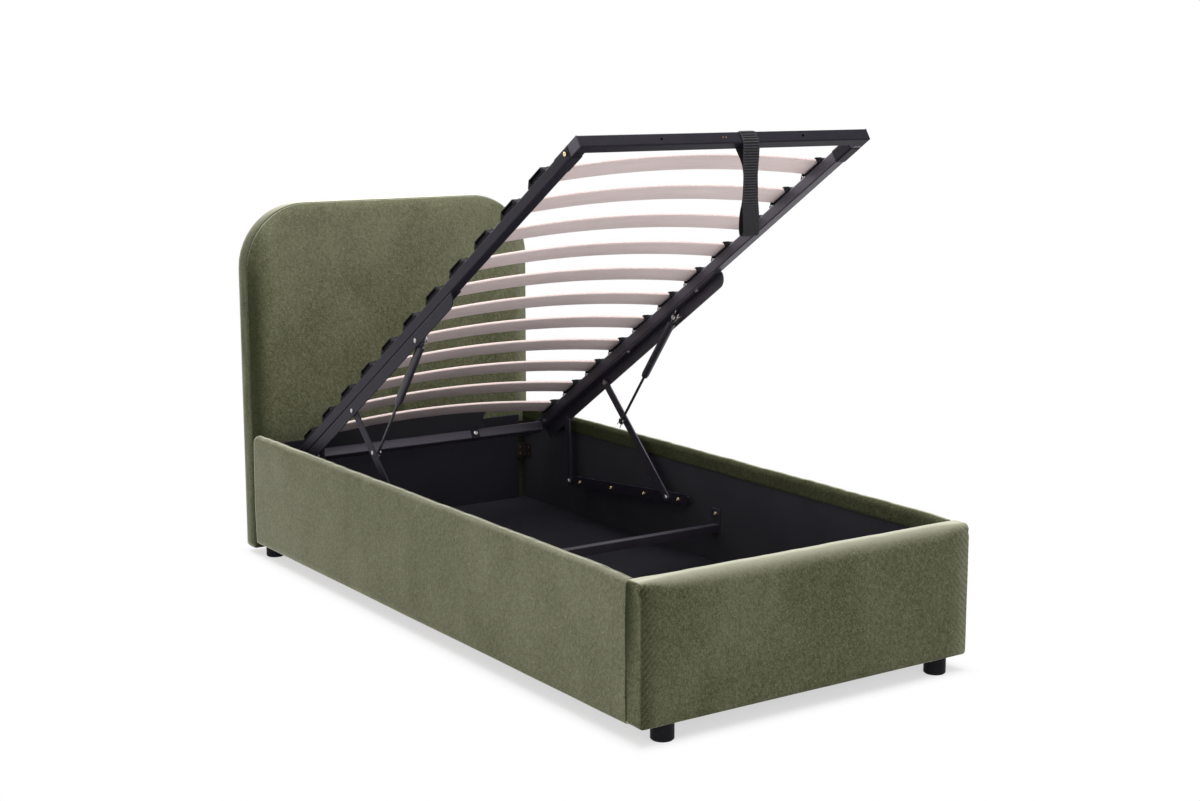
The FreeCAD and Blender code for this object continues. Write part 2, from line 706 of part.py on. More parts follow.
def make_slats():
    """Bowed timber slats in holders that stand on the side tubes."""
    end = half_lid - slat_end_inset
    seat = holder_floor + holder_clearance
    low = [Vector(-end, 0, seat), Vector(0, 0, seat + slat_bow), Vector(end, 0, seat)]
    rise = Vector(0, 0, slat_thickness)
    high = [p + rise for p in low]
    edges = [arc(low[0], low[1], low[2]), line(low[2], high[2])]
    edges += [arc(high[2], high[1], high[0]), line(high[0], low[0])]
    slat = Part.Face(Part.Wire(edges)).extrude(Vector(0, slat_width, 0))
    mouth = end - holder_pocket_depth
    pocket_rise = slat_bow * (1 - (mouth / end) ** 2)
    pocket_top = seat + slat_thickness + pocket_rise + holder_clearance
    top = pocket_top + holder_roof
    half = holder_length / 2
    inner = half_lid - holder_width
    block_inner = half_lid - holder_block
    outline = [Vector(block_inner, -half, 0), Vector(block_inner, half, 0),
               Vector(block_inner, half - holder_slope, top), Vector(block_inner, holder_slope - half, top),
               Vector(block_inner, -half, 0)]
    block = Part.Face(Part.makePolygon(outline)).extrude(Vector(holder_block, 0, 0))
    gap = slat_width / 2 + holder_clearance
    rim = gap + holder_rim
    sleeve = box(inner, block_inner, -rim, rim, 0, pocket_top + holder_rim)
    wing = holder_wing_plate(rim, pocket_top)
    holder = block.fuse([sleeve, wing, wing.mirror(Vector(0, 0, 0), along_axis)]).removeSplitter()
    holder = holder.cut(box(inner - overrun, end + holder_clearance, -gap, gap, holder_floor, pocket_top))
    holder = holder.cut(box(inner - overrun, tube_inner_face, -gap, gap, -overrun, pocket_top))
    hollow = half - holder_slope - holder_roof
    holder = holder.cut(box(half_lid - holder_recess, half_lid + overrun, -hollow, hollow,
                            holder_floor, top - holder_roof))
    holders = []
    for i in range(slat_count):
        along = slat_foot_margin + i * slat_pitch
        placed = slat.copy()
        placed.translate(Vector(0, along - slat_width / 2, 0))
        save(f"slat_{i + 1:02d}", on_lid(placed))
        copy = holder.copy()
        copy.translate(Vector(0, along, 0))
        holders.append(both_sides(copy))
    save("slat_holders", on_lid(Part.makeCompound(holders)))


def make_struts():
    """Gas struts: a cylinder hung from the lift plate and a rod that reaches the front link."""
    x0 = strut_x - strut_eye_width / 2
    x1 = strut_x + strut_eye_width / 2
    cylinder_end = cylinder_start + cylinder_length
    eye = rod_x(strut_eye_radius, x0, x1, 0, 0)
    neck = Part.makeCylinder(strut_neck_radius, cylinder_start, Vector(strut_x, 0, 0), along_axis)
    body = Part.makeCylinder(cylinder_radius, cylinder_length - cylinder_collar,
                             Vector(strut_x, cylinder_start, 0), along_axis)
    collar = Part.makeCylinder(cylinder_radius - collar_step, cylinder_collar,
                               Vector(strut_x, cylinder_end - cylinder_collar, 0), along_axis)
    cylinder = eye.fuse([neck, body, collar])
    bore_start = cylinder_start + strut_bore_end_gap
    bore = Part.makeCylinder(rod_radius + rod_fit, cylinder_end - bore_start + overrun,
                             Vector(strut_x, bore_start, 0), along_axis)
    cylinder = cylinder.cut(bore)
    cylinder = cylinder.cut(hole_x(strut_pin_radius + pin_fit, x0, x1, 0, 0)).removeSplitter()
    cylinder = set_along(cylinder, strut_pivot_y, strut_pivot_z, strut_angle)
    save("right_strut_cylinder", cylinder)
    save("left_strut_cylinder", mirrored(cylinder))
    rod_start = cylinder_end - rod_inside
    rod = Part.makeCylinder(rod_radius, strut_length - rod_start, Vector(strut_x, rod_start, 0), along_axis)
    rod_eye = rod_x(strut_eye_radius, x0, x1, strut_length, 0)
    stud = rod_x(strut_pin_radius, x0 - pin_head_thickness, link_inner - stud_gap, strut_length, 0)
    rod = set_along(rod.fuse([rod_eye, stud]).removeSplitter(), strut_pivot_y, strut_pivot_z, strut_angle)
    save("right_strut_rod", rod)
    save("left_strut_rod", mirrored(rod))


def make_strap():
    """Webbing pull strap: a band sewn round the foot tube and a hand loop that hangs from it."""
    t = strap_thickness
    x0 = strap_place - strap_width / 2
    x1 = strap_place + strap_width / 2
    band = box(x0, x1, -t, tube_size + t, -tube_size - t, t)
    band = band.cut(box(x0 - overrun, x1 + overrun, 0, tube_size, -tube_size, 0))
    save("strap_band", on_lid(band))
    hinge_y, hinge_z = lid_point(strap_hinge_along, tube_size + t + strap_hinge_gap + t)
    end_radius = strap_loop_open / 2 + t
    loop_top = hinge_z - strap_neck
    loop_end = hinge_z - strap_drop + end_radius
    neck = box(x0, x1, hinge_y - t, hinge_y + t, loop_top, hinge_z)
    knuckle = rod_x(t, x0, x1, hinge_y, hinge_z)
    inner = strap_loop_open / 2
    mid = (loop_top + loop_end) / 2

    def teardrop(half, tip):
        """Outline of the hand loop, pointed above and round below."""
        top = Vector(x0, hinge_y, tip)
        back = [Vector(x0, hinge_y + half, mid), Vector(x0, hinge_y + half, loop_end)]
        front = [Vector(x0, hinge_y - half, loop_end), Vector(x0, hinge_y - half, mid)]
        low = Vector(x0, hinge_y, loop_end - half)
        outline = [line(top, back[0]), line(back[0], back[1]), arc(back[1], low, front[0])]
        outline += [line(front[0], front[1]), line(front[1], top)]
        return Part.Face(Part.Wire(outline)).extrude(Vector(x1 - x0, 0, 0))

    loop = teardrop(inner + t, loop_top + t).cut(teardrop(inner, loop_top - t))
    save("strap_loop", neck.fuse([knuckle, loop]).removeSplitter())


os.makedirs("parts", exist_ok=True)
make_feet()
make_rails()
make_footboard()
make_headboard()
make_storage_box()
make_tie_bar()
make_brackets()
make_base_channels()
make_rail_screws()
make_links()
make_lift_plates()
make_lid_frame()
make_lid_bolts()
make_slats()
make_struts()
make_strap()
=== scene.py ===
import math

import bpy
import numpy as np
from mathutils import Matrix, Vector, noise


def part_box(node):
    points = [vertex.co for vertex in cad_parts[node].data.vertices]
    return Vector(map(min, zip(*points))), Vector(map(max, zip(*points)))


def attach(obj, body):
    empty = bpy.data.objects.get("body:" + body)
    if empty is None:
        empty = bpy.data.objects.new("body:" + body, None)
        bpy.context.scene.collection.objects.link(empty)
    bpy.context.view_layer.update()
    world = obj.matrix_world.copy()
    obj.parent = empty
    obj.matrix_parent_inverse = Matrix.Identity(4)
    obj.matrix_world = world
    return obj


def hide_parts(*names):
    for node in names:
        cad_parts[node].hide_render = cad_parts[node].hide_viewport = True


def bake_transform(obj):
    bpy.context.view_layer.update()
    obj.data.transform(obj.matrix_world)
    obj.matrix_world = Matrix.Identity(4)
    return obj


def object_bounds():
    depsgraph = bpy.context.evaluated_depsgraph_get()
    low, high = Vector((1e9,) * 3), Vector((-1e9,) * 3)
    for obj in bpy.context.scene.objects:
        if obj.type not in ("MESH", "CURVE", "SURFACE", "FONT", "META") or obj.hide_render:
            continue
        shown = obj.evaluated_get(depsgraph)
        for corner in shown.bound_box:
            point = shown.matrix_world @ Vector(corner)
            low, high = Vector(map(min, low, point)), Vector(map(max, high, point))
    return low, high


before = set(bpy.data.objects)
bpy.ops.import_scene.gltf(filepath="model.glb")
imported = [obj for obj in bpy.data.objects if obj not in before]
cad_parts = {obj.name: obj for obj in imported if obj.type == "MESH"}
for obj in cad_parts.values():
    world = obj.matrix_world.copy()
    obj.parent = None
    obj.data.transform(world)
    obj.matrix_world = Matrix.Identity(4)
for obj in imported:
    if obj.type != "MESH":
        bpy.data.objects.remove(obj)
cad_low, cad_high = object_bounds()

# Feet
# Four round feet turned from black plastic, screwed up into the frame's corners.
# The moulded skin is matt with a fine grain, and scuffed grey in places.


class Wire:
    """A shader socket. Sums of wires and numbers add Math nodes, and node() adds any other kind."""

    def __init__(self, tree, socket=None):
        self.tree = tree
        self.socket = socket

    def node(self, kind, settings=None, sockets=None, out=0):
        made = self.tree.nodes.new("ShaderNode" + kind)
        for name, value in (settings or {}).items():
            setattr(made, name, value)
        for name, value in (sockets or {}).items():
            if isinstance(value, Wire):
                self.tree.links.new(value.socket, made.inputs[name])
            else:
                made.inputs[name].default_value = value
        return Wire(self.tree, made.outputs[out] if made.outputs else None)

    def maths(self, operation, first, second):
        return self.node("Math", {"operation": operation}, {0: first, 1: second})

    def __add__(self, other):
        return self.maths("ADD", self, other)

    def __radd__(self, other):
        return self.maths("ADD", other, self)

    def __sub__(self, other):
        return self.maths("SUBTRACT", self, other)

    def __rsub__(self, other):
        return self.maths("SUBTRACT", other, self)

    def __mul__(self, other):
        return self.maths("MULTIPLY", self, other)

    def __rmul__(self, other):
        return self.maths("MULTIPLY", other, self)

    def __truediv__(self, other):
        return self.maths("DIVIDE", self, other)

    def __pow__(self, other):
        return self.maths("POWER", self, other)


def start_finish(name):
    """A new material with an empty node tree, a wire to build it from and the object's own coordinates."""
    material = bpy.data.materials.new(name)
    material.use_nodes = True
    material.node_tree.nodes.clear()
    wire = Wire(material.node_tree)
    return material, wire, wire.node("TexCoord", out="Object")


def end_finish(wire, sockets):
    """Ends a material in one principled shader."""
    shader = wire.node("BsdfPrincipled", {}, sockets)
    wire.node("OutputMaterial", {}, {"Surface": shader})


def grain(wire, place, scale, detail=2.0, twist=0.0, stretch=(1, 1, 1)):
    """A noise value between 0 and 1, drawn out along the axes by the inverse of stretch."""
    drawn = wire.node("VectorMath", {"operation": "MULTIPLY"}, {0: place, 1: stretch})
    return wire.node("TexNoise", {}, {"Vector": drawn, "Scale": scale, "Detail": detail,
                                      "Distortion": twist})


def mixed(wire, factor, first, second):
    """Two colours mixed by a factor."""
    return wire.node("Mix", {"data_type": "RGBA"}, {0: factor, 6: first, 7: second}, out=2)


def ramped(wire, value, low, high):
    """A value spread from low..high to 0..1 and held there."""
    return wire.node("MapRange", {}, {"Value": value, "From Min": low, "From Max": high})


def relief(wire, height, distance, strength=1.0):
    """A bump of that height in metres."""
    return wire.node("Bump", {}, {"Height": height, "Distance": distance, "Strength": strength})


def point_value(wire, name):
    """A value that is kept on each point of the piece."""
    return wire.node("Attribute", {"attribute_name": name}, out="Fac")


def black_plastic_finish():
    """Matt black moulded plastic with a fine spark-eroded grain."""
    material, wire, place = start_finish("black_plastic")
    fine = grain(wire, place, 1500.0, 3.0)
    scuff = ramped(wire, grain(wire, place, 60.0, 4.0), 0.55, 0.75)
    end_finish(wire, {
        "Base Color": mixed(wire, scuff * 0.5, (0.0062, 0.0060, 0.0078, 1), (0.016, 0.015, 0.018, 1)),
        "Roughness": 0.46 + fine * 0.16,
        "Specular IOR Level": 0.08,
        "Normal": relief(wire, fine, 0.00012),
    })
    return material


weld_distance = 0.00002
sharp_degrees = 35


def dress(node, material, edge=0.0, segments=2):
    """Gives a CAD node a material all over. Modifiers round its edges, and its mesh stays as it is."""
    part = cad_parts[node]
    part.data.materials.clear()
    part.data.materials.append(material)
    if not edge:
        return
    weld = part.modifiers.new("weld", "WELD")
    weld.merge_threshold = weld_distance
    bevel = part.modifiers.new("bevel", "BEVEL")
    bevel.width = edge
    bevel.segments = segments
    bevel.limit_method = "ANGLE"
    bevel.angle_limit = math.radians(sharp_degrees)
    part.modifiers.new("normals", "WEIGHTED_NORMAL")


black_plastic = black_plastic_finish()
foot_edge = 0.0012
for foot in ("foot_front_left", "foot_front_right", "foot_head_left", "foot_head_right"):
    dress(foot, black_plastic, foot_edge)

# Boards of the frame
# Rail boards, footboard core, headboard core and posts, and the battens under the box floor.
# Raw particle board, sawn to size and screwed together, all but hidden by the upholstery.


def board_finish():
    """Raw particle board: pale chips pressed flat."""
    material, wire, place = start_finish("raw_board")
    chips = wire.node("TexVoronoi", {}, {"Vector": place, "Scale": 240.0}, out="Color")
    chip = wire.node("RGBToBW", {}, {"Color": chips})
    dust = grain(wire, place, 700.0, 4.0)
    tone = chip * 0.6 + dust * 0.4
    end_finish(wire, {
        "Base Color": mixed(wire, tone, (0.26, 0.18, 0.11, 1), (0.56, 0.43, 0.29, 1)),
        "Roughness": 0.75 + dust * 0.2,
        "Normal": relief(wire, tone, 0.0003),
    })
    return material


raw_board = board_finish()
for board in ("left_rail_board", "right_rail_board", "footboard_core", "headboard_core", "headboard_frame",
              "floor_battens"):
    dress(board, raw_board)

# Box floor and head panel
# Thin boards faced with the same black cloth as the box walls, dropped on the battens.
# The panel at the head end closes the box under the raised base.


def lining_finish(name, dark, pale):
    """Black non-woven lining: felted fibres with a faint violet cast."""
    material, wire, place = start_finish(name)
    felt = grain(wire, place, 900.0, 4.0, 0.6)
    cloud = grain(wire, place, 7.0, 3.0)
    dots = wire.node("TexVoronoi", {}, {"Vector": place, "Scale": 420.0}, out="Distance")
    tone = felt * 0.35 + cloud * 0.65
    end_finish(wire, {
        "Base Color": mixed(wire, tone, dark, pale),
        "Roughness": 0.66 + felt * 0.2,
        "Specular IOR Level": 0.12,
        "Normal": relief(wire, felt * 0.6 + dots * 0.6, 0.0003, 0.7),
    })
    return material


panel_edge = 0.0015
# Painted shade: the floor and head panel take the same cloth as the walls at under half their brightness.
faced_board = lining_finish("faced_board", (0.0084, 0.0080, 0.0116, 1), (0.0170, 0.0160, 0.0212, 1))
for panel in ("floor_boards", "head_panel"):
    dress(panel, faced_board, panel_edge)

# Box linings
# Black cloth stapled flat to the inside of the rails and footboard, from the floor up to the green return.
# Each is one stretched sheet, slack by a millimetre between its staples.


def new_piece(name, points, faces, material, smooth=True):
    """A mesh object in the frame's own coordinates."""
    mesh = bpy.data.meshes.new(name)
    mesh.from_pydata([tuple(p) for p in points], [], faces)
    mesh.validate()
    if smooth:
        mesh.polygons.foreach_set("use_smooth", [True] * len(mesh.polygons))
    mesh.materials.append(material)
    piece = bpy.data.objects.new(name, mesh)
    bpy.context.scene.collection.objects.link(piece)
    return piece


def grid_faces(rows, columns, row_loop=False, column_loop=False):
    """Quads of a grid of points that are listed row by row."""
    faces = []
    for i in range(rows if row_loop else rows - 1):
        for j in range(columns if column_loop else columns - 1):
            a = i * columns + j
            b = i * columns + (j + 1) % columns
            c = (i + 1) % rows * columns + (j + 1) % columns
            d = (i + 1) % rows * columns + j
            faces.append((a, b, c, d))
    return faces


def loft_faces(rows, columns, base=0):
    """Quads of a closed tube of points that are listed ring by ring, and a cap at each end."""
    faces = grid_faces(rows, columns, column_loop=True)
    faces.append(tuple(range(columns))[::-1])
    faces.append(tuple((rows - 1) * columns + i for i in range(columns)))
    return [tuple(base + i for i in f) for f in faces]


def noise_at(*place):
    """Smooth noise between about -1 and 1."""
    return noise.noise(Vector(place))


def keep_values(piece, name, values):
    """Keeps a value on each point of a piece, for its material to read."""
    piece.data.attributes.new(name, "FLOAT", "POINT").data.foreach_set("value", values)


black_lining = lining_finish("black_lining", (0.0205, 0.0198, 0.0250, 1), (0.0400, 0.0385, 0.0455, 1))
lining_slack = 0.0012
lining_step = 0.012
lining_hem = 4


def stretched_lining(node, name, normal):
    """A sheet on the open face of a lining's CAD solid, with soft waves between its staples."""
    low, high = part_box(node)
    across = 0 if abs(normal.x) > 0.5 else 1
    along = 1 - across
    face = high[across] if normal[across] > 0 else low[across]
    columns = round((high[along] - low[along]) / lining_step) + 1
    rows = round((high.z - low.z) / lining_step) + 1
    points = []
    for i in range(rows):
        v = i / (rows - 1)
        for j in range(columns):
            u = j / (columns - 1)
            p = Vector((0, 0, low.z + (high.z - low.z) * v))
            p[along] = low[along] + (high[along] - low[along]) * u
            p[across] = face
            hold = min(min(u, 1 - u) * columns, min(v, 1 - v) * rows) / lining_hem
            hold = min(1.0, hold)
            wave = noise_at(p[along] * 7, p.z * 5, across * 9.0)
            p[across] += normal[across] * lining_slack * hold * (0.5 + wave)
            points.append(p)
    sheet = new_piece(name, points, grid_faces(rows, columns), black_lining)
    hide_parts(node)
    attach(sheet, "frame")


stretched_lining("left_rail_lining", "left_lining_cloth", Vector((1, 0, 0)))
stretched_lining("right_rail_lining", "right_lining_cloth", Vector((-1, 0, 0)))
stretched_lining("footboard_lining", "foot_lining_cloth", Vector((0, 1, 0)))

# Side rails
# Boards wrapped in thin foam and olive chenille, which rolls over the top to a green return stapled inside.
# The cloth is pulled by hand, so its top line wavers, and the head end is folded to a round corner.


def strokes(wire, place, turn, length, scale):
    """Noise drawn out into short strokes along an axis that is turned by those angles."""
    drawn = wire.node("Mapping", {"vector_type": "TEXTURE"},
                      {"Vector": place, "Rotation": turn, "Scale": (1, 1, length)})
    return wire.node("TexNoise", {}, {"Vector": drawn, "Scale": scale, "Detail": 1.0, "Distortion": 0.3})


def chenille_finish():
    """Olive chenille: pile in patches, a pale sheen painted in at grazing angles, and painted shading: shade
    at 1, light at -1.
    """
    material, wire, place = start_finish("olive_chenille")
    cloud = grain(wire, place, 8.0, 3.0, 0.5, stretch=(1, 1, 0.6))
    patch = ramped(wire, grain(wire, place, 40.0, 1.0, 0.6), 0.40, 0.60)
    stroke = strokes(wire, place, (0.6, 0.6, 0), 4.0, 330.0) * patch
    stroke = stroke + strokes(wire, place, (-0.7, -0.7, 0), 4.0, 330.0) * (1 - patch)
    pile = ramped(wire, stroke, 0.36, 0.66)
    swirl = ramped(wire, strokes(wire, place, (0.5, -0.6, 0), 2.5, 130.0), 0.38, 0.64)
    fleck = ramped(wire, grain(wire, place, 240.0, 1.0), 0.62, 0.74)
    nap = point_value(wire, "nap")
    tone = pile * 0.48 + swirl * 0.24 + ramped(wire, cloud, 0.3, 0.7) * 0.28
    colour = mixed(wire, tone, (0.045, 0.049, 0.021, 1), (0.157, 0.160, 0.098, 1))
    colour = mixed(wire, fleck * 0.4, colour, (0.27, 0.27, 0.19, 1))
    # Painted shade where the painted shading value is above 0, painted light where it is below 0.
    colour = mixed(wire, ramped(wire, nap, 0, 1), colour, (0.014, 0.018, 0.005, 1))
    colour = mixed(wire, ramped(wire, nap, 0, -1), colour, (0.42, 0.415, 0.315, 1))
    # Painted sheen: a pale colour mixed into the base colour at grazing angles, less where painted shade
    # lies.
    facing = wire.node("LayerWeight", {}, {"Blend": 0.5}, out="Facing")
    painted_sheen = ramped(wire, facing, 0.56, 0.98) ** 1.4 * (1 - ramped(wire, nap, 0, 0.6))
    end_finish(wire, {
        "Base Color": mixed(wire, painted_sheen, colour, (0.80, 0.79, 0.65, 1)),
        "Roughness": 0.88 + pile * 0.1,
        "Specular IOR Level": 0.06,
        "Sheen Weight": 0.05,
        "Sheen Roughness": 0.3,
        "Sheen Tint": (0.90, 0.92, 0.80, 1),
        "Normal": relief(wire, pile, 0.0008, 0.6),
    })
    return material


olive_chenille = chenille_finish()
rail_step = 0.009
rail_edge_round = 0.0125
rail_end_round = 0.018
rail_end_tuck = 0.0028
head_tuck_reach = 0.006
foot_tuck_reach = 0.0045
rail_top_band = 0.06
rail_waver = 0.0014
rail_swell = 0.0022
rail_lump = 0.0011
return_lump = 0.0008
staple_pitch = 0.058
staple_dip = 0.0005
foot_dip = 0.005
foot_dip_reach = 0.15
board_clearance = 0.0003
end_wrap_gap = 0.0002
end_wrap_thickness = 0.0008
# Painted shading on the rail covers: shade on the end wraps, the return and the foot-end seam; light on the
# outer face and top roll.
end_wrap_painted_shade = 0.6
return_painted_shade = 0.40
return_shade_gain = 0.40
outer_painted_light = 0.10
roll_painted_light = 0.34
seam_painted_shade = 0.9
seam_reach = 0.002


def chenille_cover(name, points, faces, nap, node):
    """A padded chenille piece in place of a CAD node, with its painted shading at each of its points."""
    cover = new_piece(name, points, faces, olive_chenille)
    keep_values(cover, "nap", nap)
    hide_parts(node)
    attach(cover, "frame")


def fade(distance, reach):
    """1 at no distance, falling evenly to 0 at the reach and beyond."""
    return max(0.0, 1 - distance / reach)


def grow(distance, reach):
    """0 at no distance, rising evenly to 1 at the reach and beyond."""
    return min(1.0, distance / reach)


def arc_points(centre, radius, start, end, count):
    """Points of a round corner in a section, from one angle to another in degrees."""
    points = []
    for i in range(count):
        a = math.radians(start + (end - start) * i / (count - 1))
        points.append((centre[0] + radius * math.cos(a), centre[1] + radius * math.sin(a)))
    return points


def line_points(first, last, count):
    """Points between two corners of a section, the corners left out."""
    return [tuple(a + (b - a) * (i + 1) / (count + 1) for a, b in zip(first, last)) for i in range(count)]


def rail_section(half, low, top, inner, return_low, board_inner, board_outer, board_top):
    """Right rail's cover in section: pad, rolled top, green return, and the face against the board."""
    r = rail_edge_round
    pad = [(half - 0.004, low), (half - 0.001, low + 0.0012), (half, low + 0.004)]
    outer = line_points((half, low + 0.004), (half, top - r), 22)
    roll = arc_points((half - r, top - r), r, 0, 90, 8) + arc_points((inner + r, top - r), r, 90, 180, 8)
    back = line_points((inner, top - r), (inner, return_low + 0.002), 4)
    hem = [(inner, return_low + 0.002), (inner + 0.0015, return_low), (board_inner, return_low)]
    hidden = [(board_inner, board_top), (board_outer, board_top), (board_outer, low)]
    return pad + outer + roll + back + hem + hidden


def rail_cover(side, node, name):
    """One rail's cover, lofted along the bed with tucked ends and a wavering top."""
    low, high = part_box(node)
    board_low, board_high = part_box(node.replace("cover", "board"))
    lining_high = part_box(node.replace("cover", "lining"))[1]
    half = max(abs(low.x), abs(high.x))
    inner = min(abs(low.x), abs(high.x))
    board_outer = max(abs(board_low.x), abs(board_high.x)) + board_clearance
    board_inner = min(abs(board_low.x), abs(board_high.x)) - board_clearance
    section = rail_section(half, low.z, high.z, inner, lining_high.z, board_inner, board_outer,
                           board_high.z + board_clearance)
    length = high.y - low.y
    rows = round(length / rail_step) + 1
    stations = [0.0, 0.001, 0.0025, 0.0045] + [length * i / (rows - 1) for i in range(1, rows - 2)]
    stations += [length - d for d in (0.016, 0.012, 0.0085, 0.0055, 0.003, 0.0013, 0.0003, 0.0)]
    stations = sorted(set(stations))
    points = []
    nap = []
    crest = (half + inner) / 2
    for s in stations:
        from_end = length - s
        tuck = fade(from_end, head_tuck_reach) ** 2
        tuck += fade(s, foot_tuck_reach) ** 2
        fall = 0.0
        if from_end < rail_end_round:
            rest = rail_end_round - from_end
            fall = rail_end_round - math.sqrt(max(0.0, rail_end_round ** 2 - rest ** 2))
        for x, z in section:
            lift = max(0.0, (z - (high.z - rail_top_band)) / rail_top_band)
            height = (z - low.z) / (high.z - low.z)
            outside = x > board_outer
            y = low.y + s
            waver = noise_at(y * 11, side * 3.0, 0.4) + 0.6 * noise_at(y * 27, side, 4.0)
            pulled = staple_dip * abs(math.sin(math.pi * y / staple_pitch)) ** 3
            pulled += foot_dip * fade(s, foot_dip_reach) ** 2
            z_new = z + lift * (rail_waver * waver - 0.5 * rail_waver - pulled) - fall * lift
            swell = 0.0
            if outside:
                swell = -rail_swell * (2 * height - 1) ** 4
                swell += rail_lump * noise_at(y * 6, z * 9, side * 5.0)
            if x < board_inner:
                swell = return_lump * noise_at(y * 14, z * 20, side * 2.0)
            x_new = x + swell - tuck * rail_end_tuck * (1 if outside else -1 if x < board_inner else 0)
            points.append((side * x_new, y, z_new - tuck * rail_end_tuck * lift))
            # Painted shade on the green return, deeper towards the head; painted light on the outer face and
            # top roll; painted shade in the seam at the foot end.
            turned = return_painted_shade + return_shade_gain * s / length
            turned *= min(1.0, max(0.0, (crest - x) / (crest - inner) + 0.3))
            outer_light = 0.0
            if x > crest:
                outer_light = outer_painted_light + roll_painted_light * fade(high.z - z, rail_edge_round) ** 2
            nap.append(seam_painted_shade if s < seam_reach else turned - outer_light)
    corners = ((board_inner, low.z), (board_outer, low.z), (board_outer, board_high.z),
               (board_inner, board_high.z))
    faces = loft_faces(len(stations), len(section)) + loft_faces(2, len(corners), len(points))
    wrap_start = board_high.y + end_wrap_gap
    for y in (wrap_start, wrap_start + end_wrap_thickness):
        for x, z in corners:
            points.append((side * x, y, z))
            # Painted shade on the end wraps.
            nap.append(end_wrap_painted_shade)
    if side > 0:
        faces = [f[::-1] for f in faces]
    chenille_cover(name, points, faces, nap, node)


rail_cover(-1, "left_rail_cover", "left_rail_chenille")
rail_cover(1, "right_rail_cover", "right_rail_chenille")

# Footboard
# A board padded at the front and over the top, wrapped in the same chenille and closed at its ends.
# The front swells a little, the top corners are pinched in a fold, and the cloth is creased by the ends.

footboard_front_inset = 0.0012
footboard_back_inset = 0.0004
footboard_roll_depth = 0.034
footboard_roll_height = 0.042
pinched_roll = 0.017
pinch_reach = 0.11
footboard_back_round = 0.010
footboard_low_round = 0.005
left_end_round = 0.0035
right_end_round = 0.010
end_depth_blend = 0.02
end_height_blend = 0.12
footboard_crown = 0.0045
footboard_lump = 0.0010
footboard_waver = 0.0011
footboard_low_corner = 0.012
low_corner_reach = 0.05
notch_drop = 0.019
notch_size = 0.006
notch_depth = 0.005
crease_depth = 0.0012
crease_reach = 0.07
crease_pitch = 0.0026
crease_slope = 1.1
crease_fade = 0.008
# Painted shading on the footboard: shade by the left end and in the notch and seams, light by the right end
# and on the top roll.
left_end_painted_shade = 0.50
right_end_painted_light = -0.28
end_shading_reach = 0.036
wide_left_painted_shade = 0.12
wide_shade_reach = 0.13
end_shading_fade = 0.003
ripple_shading_fade = 0.01
notch_painted_shade = 0.4
foot_roll_painted_light = 0.9
foot_roll_light_power = 2.8
foot_roll_light_fade = 0.004
end_seam = 0.0015


def footboard_section(front, back, low, top, deep, tall):
    """Footboard in section: crowned front, rolled top, flat back and bottom."""
    r = footboard_back_round
    b = footboard_low_round
    front_face = line_points((front, low + b), (front, top - tall), 64)
    roll = [(front + deep * (1 + y), top - tall * (1 - z)) for y, z in arc_points((0, 0), 1.0, 180, 90, 18)]
    roll += line_points((front + deep, top), (back - r, top), 3)
    roll += arc_points((back - r, top - r), r, 90, 0, 8)
    back_face = line_points((back, top - r), (back, low), 20)
    under = [(back, low)] + line_points((back, low), (front + b, low), 6)
    return front_face + roll + back_face + under + arc_points((front + b, low + b), b, 270, 180, 5)


